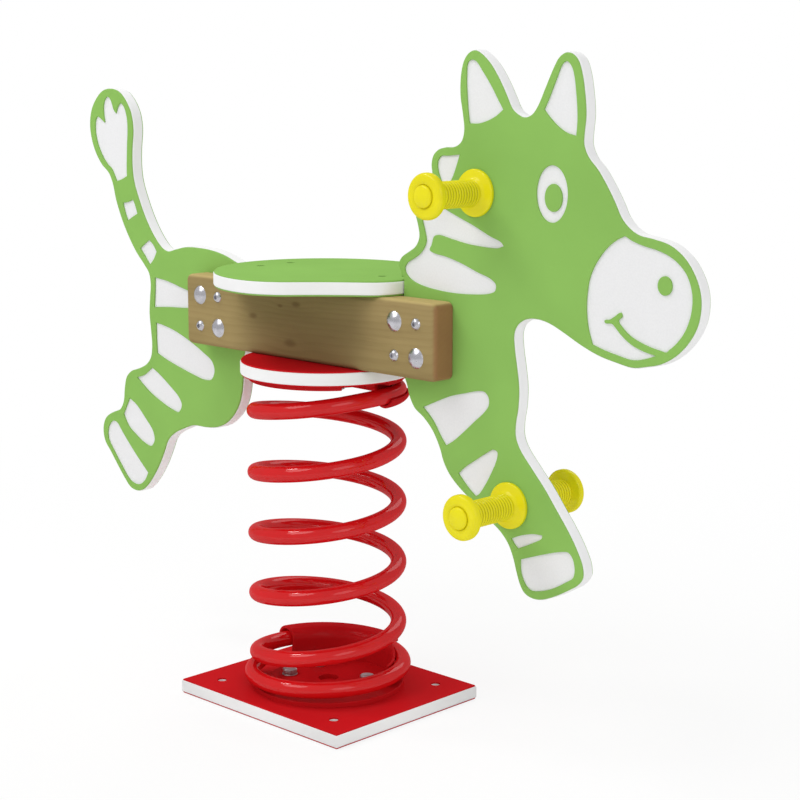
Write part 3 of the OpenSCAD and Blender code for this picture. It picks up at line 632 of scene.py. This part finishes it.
for title, bottom, top, body, look in (
        ("base_plate", 0.0, PLATE_TOP, "base", RED_SHEET),
        ("top_plate", UNDER_Z, DECK_Z, "rider", RED_SHEET),
        ("seat", SEAT_Z, SEAT_TOP, "rider", GREEN)):
    sheet(title + "_board", title + "_core", Z_AXIS, bottom + SKIN, bottom + SKIN, top - SKIN,
          (CORE, CORE), (CLEAN, CLEAN), body, WHITE)
    sheet(title + "_top_face", title + "_top_skin", Z_AXIS, top, top - SKIN, top,
          (SOFT, CLEAN), (CUT, CLEAN), body, look)
    sheet(title + "_under_face", title + "_bottom_skin", Z_AXIS, bottom, bottom, bottom + SKIN,
          (CLEAN, SOFT), (CLEAN, CUT), body, look)

# Spring, in two halves split at a height

TURN_LENGTH = math.tau * COIL_R
WIRE_EASE = 1.6 * MM
SPLIT_Z = 0.237
SPRING_SHARP = 40


def wire_at(t, step=0.002):
    """Centre of the wire, by turns from the lower clamp's mouth, straight beyond both ends."""
    if t < -FOOT_TURN or t > WIRE_END:
        end = -FOOT_TURN if t < -FOOT_TURN else WIRE_END
        back = step if t > end else -step
        way = (wire_at(end) - wire_at(end - back)).normalized()
        return wire_at(end) + way * abs(t - end) * math.tau * COIL_R
    r = COIL_R + (FOOT_R - COIL_R) * (1 - math.cos(math.tau * min(max(t, -0.5), 0))) / 2
    if t < 0:
        z = FOOT_PITCH * t
    elif t < RAMP:
        z = FOOT_PITCH * t + (PITCH - FOOT_PITCH) * t * t / (2 * RAMP)
    else:
        u = min(max(t - (TURNS - LEAD), 0), 2 * LEAD)
        rise = PITCH * (min(t, TURNS + LEAD) - RAMP / 2) - PITCH * u * u / (4 * LEAD)
        z = FOOT_PITCH * RAMP / 2 + rise
    a = math.radians(MOUTH_A) + math.tau * t
    return Vector((r * math.cos(a), r * math.sin(a), MOUTH_Z + z))


def turn_at(z, halvings=40):
    """Turns after which the wire's centre passes a height."""
    low, high = 0.0, TURNS
    for _ in range(halvings):
        middle = (low + high) / 2
        low, high = (middle, high) if wire_at(middle).z < z else (low, middle)
    return middle


def wire_rings(t0, t1, ease_start=False, ease_end=False, per_turn=72, sides=28, step=0.001):
    """Rings round the wire's centre line from t0 to t1, with eased ends where asked."""
    count = round((t1 - t0) * per_turn)
    stations = [(t0 + (t1 - t0) * i / count, WIRE_R) for i in range(count + 1)]

    def cap(end, sign):
        """Stations of an eased end, from the end inwards."""
        reach = WIRE_EASE / TURN_LENGTH
        return [(end + sign * reach * (1 - math.sin(f)), WIRE_R - WIRE_EASE * (1 - math.cos(f)))
                for f in (math.pi / 2, math.pi / 3, math.pi / 6)]

    if ease_start:
        stations = cap(t0, 1) + stations[1:]
    if ease_end:
        stations = stations[:-1] + cap(t1, -1)[::-1]
    rings = []
    for t, radius in stations:
        way = (wire_at(t + step) - wire_at(t - step)).normalized()
        side = way.cross(Vector((0, 0, 1))).normalized()
        up = side.cross(way)
        rings.append([wire_at(t) + (side * math.cos(a) + up * math.sin(a)) * radius
                      for a in (math.tau * k / sides for k in range(sides))])
    return rings


run_turns = RUN / TURN_LENGTH
split_t = turn_at(SPLIT_Z)
verts, faces = swept(wire_rings(-FOOT_TURN - run_turns, split_t, ease_start=True))
lower_coil = add_piece("spring_lower_half", verts, faces, None, RED_SPRING, ["spring"], sharp=SPRING_SHARP)
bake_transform(lower_coil)
verts, faces = swept(wire_rings(split_t, WIRE_END + run_turns, ease_end=True))
upper_coil = add_piece("spring_upper_half", verts, faces, None, RED_SPRING, ["spring"], sharp=SPRING_SHARP)
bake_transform(upper_coil)

# Spring clamps: a round floor, and a wall that curls over the wire

FLOOR_EDGE = (1.2 * MM, 1.2 * MM)
WALL_FOOT = 2 * MM           # height at which the wall starts, inside the floor
SLACK_SINK = 0.4             # how far a wider curl is let down, as a share of its slack
CURL_STEPS, LIP_STEPS, TAIL_STEPS, WRAP_STEPS = 40, 8, 36, 45
TAIL_RISE = 12 * MM          # of the tail's edge, from its end to the lip
TAIL_EDGES = 110.0, 166.0    # degrees round the wire between which the tail's edge stays
TAIL_GAP = 0.6               # degrees from the tail to the first ring of the lip
WALL_EASE = 1 * MM           # rounding at both ends of the wall
HALF_EASED = 0.3             # place and depth of the ring between a rounding's ends
CLAMP_SHARP = 38


def hook_rings(to_world, wire_h, drop, spread, slack):
    """Rings of the wall and curl that follow the wire back from the clamp's mouth, and of the
    tail, where the wall runs on under a sloping edge."""
    hold_r = COIL_R + spread / 2
    inner = WIRE_R + WIRE_GAP + slack
    outer = inner + WALL_T
    mid_r = inner + WALL_T / 2
    mid_x, mid_z = hold_r + slack, -SLACK_SINK * slack
    half_drop = drop * WRAP_A / FULL_TURN / 2
    tilt = math.atan(half_drop / (hold_r * math.sin(math.radians(WRAP_A / 2))))
    swing = Matrix.Rotation(math.radians(-WRAP_A / 2), 4, "Z")
    seat = (Matrix.Translation((-spread / 2, 0, wire_h - half_drop)) @ swing
            @ Matrix.Rotation(tilt, 4, "X") @ swing)

    def curl(radius, start, stop):
        """Points [out, up] of an arc round the wire."""
        angles = (math.radians(start + (stop - start) * k / CURL_STEPS) for k in range(CURL_STEPS + 1))
        return [(mid_x + radius * math.cos(a), mid_z + radius * math.sin(a)) for a in angles]

    def section(ease, lip_a):
        """Points [out, up] round the wire as far as the lip, all drawn in by ease, with the two at the
        wall's foot left open."""
        lip = math.radians(lip_a)
        half = WALL_T / 2 - ease
        points = [(mid_x - inner - ease, None)] + curl(inner + ease, 180, lip_a)
        for k in range(1, LIP_STEPS):
            f = math.pi * k / LIP_STEPS
            reach, slide = mid_r - half * math.cos(f), -half * math.sin(f)
            points.append((mid_x + reach * math.cos(lip) - slide * math.sin(lip),
                           mid_z + reach * math.sin(lip) + slide * math.cos(lip)))
        return points + curl(outer - ease, lip_a, 180) + [(mid_x - outer + ease, None)]

    def tail_edge(degrees):
        """Angle of the tail's edge, which slopes down away from the lip."""
        mid = math.radians(TAIL_A / 2)
        rise = TAIL_RISE / 2 * (1 + math.sin(math.radians(degrees) + mid) / math.sin(mid))
        edge = 180 - math.degrees(math.asin(min(1.0, (rise - mid_z) / mid_r)))
        return min(TAIL_EDGES[1], max(TAIL_EDGES[0], edge))

    end_a = math.degrees(WALL_EASE / hold_r)
    tail_l = TAIL_A - end_a - TAIL_GAP
    tail = [(-TAIL_A, 1), (HALF_EASED * end_a - TAIL_A, HALF_EASED)]
    tail += [(end_a - TAIL_A + tail_l * k / TAIL_STEPS, 0) for k in range(TAIL_STEPS + 1)]
    wrap = [(WRAP_A * k / WRAP_STEPS, 0) for k in range(WRAP_STEPS)]
    wrap += [(WRAP_A - end_a, 0), (WRAP_A - HALF_EASED * end_a, HALF_EASED), (WRAP_A, 1)]
    stations = [(degrees, share, tail_edge(degrees)) for degrees, share in tail]
    stations += [(degrees, share, LIP_A) for degrees, share in wrap]
    rings = []
    for degrees, share, lip_a in stations:
        place = seat @ Matrix.Rotation(math.radians(degrees), 4, "Z")
        ring = []
        for out, lift in section(share * WALL_EASE, lip_a):
            if lift is None:
                foot, step = place @ Vector((out, 0, 0)), place.to_3x3() @ Vector((0, 0, 1))
                lift = (WALL_FOOT - foot.z) / step.z
            ring.append(to_world @ place @ Vector((out, 0, lift)))
        rings.append(ring)
    return rings


upper_mouth_a = MOUTH_A + FULL_TURN * TURNS + HOOK_LEAD
lower_place = upwards_at(0, 0, PLATE_TOP) @ Matrix.Rotation(math.radians(MOUTH_A), 4, "Z")
upper_place = (upwards_at(0, 0, UNDER_Z) @ Matrix.Rotation(math.radians(upper_mouth_a), 4, "Z")
               @ Matrix.Rotation(math.pi, 4, "X"))
sheet("lower_clamp_floor", "lower_spring_clamp", Z_AXIS, PLATE_TOP, PLATE_TOP, PLATE_TOP + CLAMP_T,
      (FLOOR_EDGE, CLEAN), (CUT, CLEAN), "base", RED_CLAMP)
sheet("upper_clamp_floor", "upper_spring_clamp", Z_AXIS, UNDER_Z, UNDER_Z - CLAMP_T, UNDER_Z,
      (CLEAN, FLOOR_EDGE), (CLEAN, CUT), "rider", RED_CLAMP)
for title, body, rings in (
        ("lower", "base", hook_rings(lower_place, MOUTH_H, FOOT_PITCH, FOOT_R - COIL_R, CURL_SLACK)),
        ("upper", "rider", hook_rings(upper_place, HOOK_H, 0.0, 0.0, 0.0))):
    verts, faces = swept(rings)
    add_piece(title + "_clamp_hook", verts, faces, body, RED_CLAMP, [title + "_spring_clamp"],
              sharp=CLAMP_SHARP)

# Grips and rests

SHAFT_R = 15.5 * MM
GROOVE = 1.8 * MM
RIB_STEPS = 8
FLANGE_EDGE = 2.2 * MM       # rounding of the flange at the board
END_BACK = 2.6 * MM          # rounding of the outer flange's inner edge
END_FRONT = 4.4 * MM         # rounding of the outer flange's outer edge
END_STEP = 1 * MM            # by which the outer flange is the smaller one
CAP_R = 12.8 * MM
CAP_EDGE = 2.2 * MM
GRIP_SHARP = 50
GRIP_SIDES, CAP_SIDES = 72, 64


def arc(r, h, edge, a0, a1, count):
    """Points of an arc in a turned section, about [r, h]."""
    angles = (math.radians(a0 + (a1 - a0) * k / count) for k in range(count + 1))
    return [(r + edge * math.cos(a), h + edge * math.sin(a)) for a in angles]


def grip_profile(length, flange_r):
    """A flange at the board, a ribbed shaft, and a thick rounded outer flange with a seat for the cap."""
    end_r = flange_r - END_STEP
    start, stop = RIB_START, length - RIB_STOP
    points = [(8 * MM, 0), (flange_r - 1 * MM, 0), (flange_r - 0.25 * MM, 0.4 * MM)]
    points += arc(flange_r - FLANGE_EDGE, 2.6 * MM, FLANGE_EDGE, 0, 74, 6)
    points += [(SHAFT_R + 5 * MM, 6.1 * MM), (SHAFT_R + 3 * MM, 6.7 * MM),
               (SHAFT_R + 1.4 * MM, 7.6 * MM), (SHAFT_R + 0.4 * MM, 8.8 * MM)]
    for i in range(RIBS):
        for k in range(RIB_STEPS):
            swell = math.sqrt(1 - (2 * k / RIB_STEPS - 1) ** 2)
            height = start + (stop - start) * (i + k / RIB_STEPS) / RIBS
            points.append((SHAFT_R - GROOVE * (1 - swell), height))
    points += [(SHAFT_R - GROOVE, stop), (SHAFT_R - 0.3 * MM, stop + 0.5 * MM),
               (SHAFT_R + 1.2 * MM, length - 10.2 * MM)]
    points += arc(end_r - END_BACK, length - 7.4 * MM, END_BACK, -88, 0, 6)
    points += arc(end_r - END_FRONT, length - END_FRONT, END_FRONT, 0, 84, 8)
    points += [(17.5 * MM, length + 0.3 * MM), (14.2 * MM, length + 0.2 * MM),
               (13.4 * MM, length - 0.4 * MM), (13.2 * MM, length - 1.2 * MM),
               (11.6 * MM, length - 1.3 * MM), (11.4 * MM, length - 4 * MM)]
    return points


def cap_profile():
    """A button with a rounded rim and a low dome, pressed into the grip's end."""
    points = [(11.0 * MM, -2.5 * MM), (11.1 * MM, -0.9 * MM), (12.6 * MM, -0.9 * MM)]
    points += arc(CAP_R - CAP_EDGE, 0.9 * MM, CAP_EDGE, -10, 66, 7)
    points += [(9.0 * MM, 3.75 * MM), (6.2 * MM, 4.4 * MM), (3.2 * MM, 4.85 * MM), (1.0 * MM, 5.0 * MM)]
    return points


for title, caps in (("hand_grip", "grip_caps"), ("foot_rest", "rest_caps")):
    places = []
    for side_name, side in (("near", NEAR), ("far", FAR)):
        node = side_name + "_" + title
        low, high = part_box(node)
        x, z, length = (low.x + high.x) / 2, (low.z + high.z) / 2, high.y - low.y
        profile = grip_profile(length, (high.x - low.x) / 2)
        verts, faces = turned(profile, [outwards_at(x, z, FACE_Y, side)], GRIP_SIDES)
        add_piece(node + "_body", verts, faces, "rider", YELLOW[title], [node], sharp=GRIP_SHARP)
        places.append(outwards_at(x, z, FACE_Y + length, side))
    verts, faces = turned(cap_profile(), places, CAP_SIDES)
    add_piece(title + "_end_caps", verts, faces, "rider", YELLOW[title], [caps], sharp=GRIP_SHARP)

# Fasteners, turned from profiles of (radius, height)

GROUP_X = 175.5 * MM         # middle of each group of beam bolts
GROUP_L = 35 * MM            # spacing in a group, along the beam
GROUP_H = 40 * MM            # spacing in a group, up the beam
CLAMP_X, CLAMP_Y = 45 * MM, 25.5 * MM
REAR_SCREW_X, FRONT_SCREW_X = -92 * MM, 98 * MM
BOLT_D, HEX_D = 10 * MM, 17 * MM
DOME_D, DOME_H = 24 * MM, 5.4 * MM
BOLT_PAST = 10 * MM          # reach of the large bolts past the far beam
NUT_H = 8 * MM
NUT_Z = 9 * MM               # level of the nuts sunk in the base plate
CAP_NUT_D, CAP_NUT_H = 15.3 * MM, 4 * MM
WASHER_D, WASHER_BORE, WASHER_T = 20 * MM, 10.5 * MM, 1.6 * MM
BUTTON_D, BUTTON_H = 14 * MM, 4.4 * MM
BUTTON_KEY, BUTTON_KEY_H = 4.8 * MM, 2.6 * MM
BUTTON_SHANK, BUTTON_PAST = 8 * MM, 16 * MM     # reach of the small screws past the board's middle
SLEEVE_D, SLEEVE_SHORT = 10.5 * MM, 17 * MM     # distance of the sleeves from the board's middle
CLAMP_BOLT_L, CLAMP_HEAD_H = 24 * MM, 6.4 * MM
LAG_L, LAG_HEAD_H = 60 * MM, 4 * MM
SCREW_D, SCREW_L, SCREW_SINK = 5 * MM, 50 * MM, 1.5 * MM
SCREW_KEY, SCREW_KEY_H = 3.4 * MM, 1.9 * MM
FASTENER_SHARP = 38

mid_z = (DECK_Z + SEAT_Z) / 2
group_ends = [(gx, k) for gx in (-GROUP_X, GROUP_X) for k in (-1, 1)]
large = [(gx + k * GROUP_L / 2, mid_z - k * GROUP_H / 2) for gx, k in group_ends]
small = [(gx + k * GROUP_L / 2, mid_z + k * GROUP_H / 2) for gx, k in group_ends]
clamp_spots = [(cx, cy) for cx in (-CLAMP_X, CLAMP_X) for cy in (-CLAMP_Y, CLAMP_Y)]
seat_spots = [(REAR_SCREW_X, -CLAMP_Y), (REAR_SCREW_X, CLAMP_Y), (FRONT_SCREW_X, 0.0)]


def dome(d, h, start=0.0, steps=10, top=0.3):
    """A low dome, from its foot to a small flat top."""
    r = (d * d / 4 + h * h) / (2 * h)
    reach = math.asin(min(1.0, d / 2 / r))
    angles = [reach * (1 - k / (steps + top)) for k in range(steps + 1)]
    rise = [(r * math.sin(a), start + r * math.cos(a) - (r - h)) for a in angles]
    return [(d / 2 - 0.3 * MM, start)] + rise


def socket(points, key, depth):
    """A head's profile, cut off by a six-sided socket."""
    rim = key / 2 / math.cos(SIXTH / 2) + 0.3 * MM
    kept = [p for p in points if p[0] > rim]
    top = kept[-1][1] + 0.1 * MM
    return kept + [(rim, top), (key / 2, top - 0.2 * MM, HEX), (key / 2, top - depth, HEX),
                   (0.6 * MM, top - depth - 0.5 * MM)]


def shank(d, start, head, ease=0.6 * MM):
    """A plain shank, with a head on it."""
    return [(d / 2 - ease, start), (d / 2, start + ease), (d / 2, head[0][1])] + head


def hex_body(h):
    """Six-sided sides with an eased foot and top."""
    a = HEX_D / 2
    return [(a * 0.93, 0), (a, 0.4 * MM, HEX), (a, h - 0.9 * MM, HEX),
            (a * 0.96, h - 0.1 * MM), (a * 0.9, h)]


def hex_head(h):
    """A six-sided head or nut with a shallow dish in its top."""
    a = HEX_D / 2
    return hex_body(h) + [(a * 0.62, h - 0.05 * MM), (a * 0.55, h - 0.35 * MM)]


def washer():
    """A flat ring with eased edges."""
    r, b, t = WASHER_D / 2, WASHER_BORE / 2, WASHER_T
    return [(b, 0), (r - 0.2 * MM, 0), (r, 0.25 * MM), (r, t - 0.4 * MM),
            (r - 0.4 * MM, t), (b + 0.3 * MM, t), (b, t - 0.3 * MM)]


def fasteners(name, node, body, profile, places, look=BRIGHT, ring=False):
    """One piece with the same profile turned at each place."""
    verts, faces = turned(profile, places, ring=ring)
    add_piece(name, verts, faces, body, look, [node], sharp=FASTENER_SHARP)


fasteners("coach_bolt_domes", "coach_bolts", "rider",
          shank(BOLT_D, -(2 * SIDE_Y + BOLT_PAST), dome(DOME_D, DOME_H)),
          [outwards_at(x, z, SIDE_Y, NEAR) for x, z in large])
fasteners("coach_bolt_washer_rings", "coach_bolt_washers", "rider", washer(),
          [outwards_at(x, z, SIDE_Y, FAR) for x, z in large], ring=True)
fasteners("coach_bolt_cap_nuts", "coach_bolt_nuts", "rider",
          hex_body(NUT_H) + dome(CAP_NUT_D, CAP_NUT_H, NUT_H)[1:],
          [outwards_at(x, z, SIDE_Y + WASHER_T, FAR) for x, z in large])
button = socket(dome(BUTTON_D, BUTTON_H), BUTTON_KEY, BUTTON_KEY_H)
fasteners("button_screw_heads", "button_screws", "rider",
          shank(BUTTON_SHANK, -SIDE_Y - BUTTON_PAST, button),
          [outwards_at(x, z, SIDE_Y, NEAR) for x, z in small])
fasteners("sleeve_nut_heads", "sleeve_nuts", "rider",
          shank(SLEEVE_D, -SIDE_Y + SLEEVE_SHORT, button),
          [outwards_at(x, z, SIDE_Y, FAR) for x, z in small])

fasteners("lower_clamp_bolt_heads", "lower_clamp_bolts", "base",
          shank(BOLT_D, -CLAMP_BOLT_L, hex_head(CLAMP_HEAD_H)),
          [upwards_at(x, y, PLATE_TOP + CLAMP_T + WASHER_T) for x, y in clamp_spots], ZINC)
fasteners("lower_clamp_washer_rings", "lower_clamp_washers", "base", washer(),
          [upwards_at(x, y, PLATE_TOP + CLAMP_T) for x, y in clamp_spots], ZINC, ring=True)
fasteners("lower_clamp_hex_nuts", "lower_clamp_nuts", "base", hex_head(NUT_H),
          [downwards_at(x, y, NUT_Z) for x, y in clamp_spots])
fasteners("upper_clamp_screw_heads", "upper_clamp_screws", "rider",
          shank(BOLT_D, -LAG_L, hex_head(LAG_HEAD_H)),
          [downwards_at(x, y, UNDER_Z - CLAMP_T - WASHER_T) for x, y in clamp_spots])
fasteners("upper_clamp_washer_rings", "upper_clamp_washers", "rider", washer(),
          [downwards_at(x, y, UNDER_Z - CLAMP_T) for x, y in clamp_spots], ring=True)

countersunk = [(SCREW_D / 2, -3.0 * MM), (4.9 * MM, -0.1 * MM), (4.8 * MM, 0)]
fasteners("seat_screw_heads", "seat_screws", "rider",
          shank(SCREW_D, -SCREW_L, socket(countersunk, SCREW_KEY, SCREW_KEY_H)),
          [upwards_at(x, y, SEAT_TOP - SCREW_SINK) for x, y in seat_spots], DULL)

# Beams: planed bars with well rounded edges

BAR_CORNER = 8 * MM
ROUND = (7 * MM, 7 * MM)
EDGE = (1.5 * MM, 1.5 * MM)


def bar_loop(low, high, r, steps=6):
    """Outline of a beam's side, with rounded corners."""
    loop = []
    for cx, cz, start in ((high.x - r, low.z + r, -90), (high.x - r, high.z - r, 0),
                          (low.x + r, high.z - r, 90), (low.x + r, low.z + r, 180)):
        loop += [Vector((cx + r * math.cos(a), cz + r * math.sin(a)))
                 for a in (math.radians(start + 90 * k / steps) for k in range(steps + 1))]
    return loop


for node, look, roundings in (
        ("near_beam", NEAR_WOOD, (EDGE, ROUND)),
        ("far_beam", FAR_WOOD, (ROUND, EDGE))):
    low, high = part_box(node)
    outline = bar_loop(low, high, BAR_CORNER)
    verts, faces, normals = sheet_mesh([outline], Y_AXIS, low.y, high.y, roundings)
    add_piece(node + "_bar", verts, faces, "rider", look, [node], normals=normals)

# Solids that are shown as they are

for node in ("grip_rod", "rest_rod", "rod_nuts"):
    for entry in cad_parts[node].material_slots:
        entry.material = BRIGHT[1]

# Stage, light and camera

FLOOR_HALF = 40.0
FLOOR_Z = -0.3 * MM
SHADOW_REACH = 0.45, 1.8     # distances between which the floor turns from pale to white
WORLD_LEVEL = 0.70
WHITE_LIGHT = (1, 1, 1, 1)
MIDDLE = (0, 0, 0.45)


def background_share(tree):
    """1 for rays that see the white background itself, 0 for those that carry light."""
    return tree.nodes.new("ShaderNodeLightPath").outputs["Is Camera Ray"]


def stage_floor():
    """Pale floor, seen as white, which keeps a share of the object's shadow near it."""
    mesh = bpy.data.meshes.new("floor")
    corners = ((-1, -1), (1, -1), (1, 1), (-1, 1))
    mesh.from_pydata([(x * FLOOR_HALF, y * FLOOR_HALF, FLOOR_Z) for x, y in corners], [], [(0, 1, 2, 3)])
    s = Shader("pale_floor", Base_Color=(0.94, 0.94, 0.94, 1.0), Roughness=0.9, Specular_IOR_Level=0.0)
    tree = s.tree
    white = s.add("ShaderNodeEmission", Color=WHITE_LIGHT, Strength=1.0)
    away = s.add("ShaderNodeVectorMath", {"operation": "LENGTH"}, Vector=s.where).outputs["Value"]
    glow = s.span(away, *SHADOW_REACH, 0.78, 1.0)
    mixed = s.add("ShaderNodeMixShader", Fac=s.math("MULTIPLY", background_share(tree), glow))
    tree.links.new(s.bsdf.outputs[0], mixed.inputs[1])
    tree.links.new(white.outputs[0], mixed.inputs[2])
    tree.links.new(mixed.outputs[0], tree.nodes["Material Output"].inputs[0])
    mesh.materials.append(s.material)
    floor = bpy.data.objects.new("floor", mesh)
    scene.collection.objects.link(floor)
    floor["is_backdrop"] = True


def world_light():
    """Even light from all round, in front of a white background."""
    world = bpy.data.worlds.new("studio")
    scene.world = world
    world.use_nodes = True
    tree = world.node_tree
    level = tree.nodes.new("ShaderNodeMapRange")
    level.inputs["To Min"].default_value = WORLD_LEVEL
    level.inputs["To Max"].default_value = 1.0
    tree.links.new(background_share(tree), level.inputs["Value"])
    background = tree.nodes["Background"]
    background.inputs["Color"].default_value = WHITE_LIGHT
    tree.links.new(level.outputs[0], background.inputs["Strength"])


def area_light(name, where, size, watts, aim=MIDDLE):
    """A round soft lamp that points at a place."""
    light = bpy.data.lights.new(name, "AREA")
    light.shape = "DISK"
    light.size = size
    light.energy = watts
    obj = bpy.data.objects.new(name, light)
    obj.location = where
    obj.rotation_euler = (Vector(aim) - Vector(where)).to_track_quat("-Z", "Y").to_euler()
    scene.collection.objects.link(obj)


stage_floor()
world_light()
area_light("key", (-0.7, -1.9, 2.6), size=1.6, watts=22)
area_light("glint", (-1.7, -0.92, 3.0), size=0.6, watts=15, aim=(0, 0, 0.25))
area_light("fill", (3.0, -1.4, 1.7), size=2.0, watts=17)
area_light("back", (-0.6, 3.0, 2.6), size=2.0, watts=22)

# The camera's angles, place and lens, solved from the photo
AZIMUTH = math.radians(44.199)
ELEVATION = math.radians(10.404)
ROLL = math.radians(0.065)
AIM_RIGHT = 0.091498
AIM_UP = 0.386906
DISTANCE = 2.26858
LENS = 81.80
SENSOR = 36.0
CLIP_END = 200.0

right = Vector((math.cos(AZIMUTH), math.sin(AZIMUTH), 0))
back = Vector((math.sin(AZIMUTH) * math.cos(ELEVATION), -math.cos(AZIMUTH) * math.cos(ELEVATION),
               math.sin(ELEVATION)))
across = right * math.cos(ROLL) + back.cross(right) * math.sin(ROLL)
upright = back.cross(across)
eye = right * AIM_RIGHT + Vector((0, 0, AIM_UP)) + back * DISTANCE
camera_data = bpy.data.cameras.new("camera")
camera_data.lens = LENS
camera_data.sensor_width = SENSOR
camera_data.clip_end = CLIP_END
camera = bpy.data.objects.new("camera", camera_data)
camera.matrix_world = Matrix((
    (across.x, upright.x, back.x, eye.x),
    (across.y, upright.y, back.y, eye.y),
    (across.z, upright.z, back.z, eye.z),
    (0, 0, 0, 1)))
scene.collection.objects.link(camera)
scene.camera = camera
scene.view_settings.view_transform = "Standard"

low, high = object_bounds()
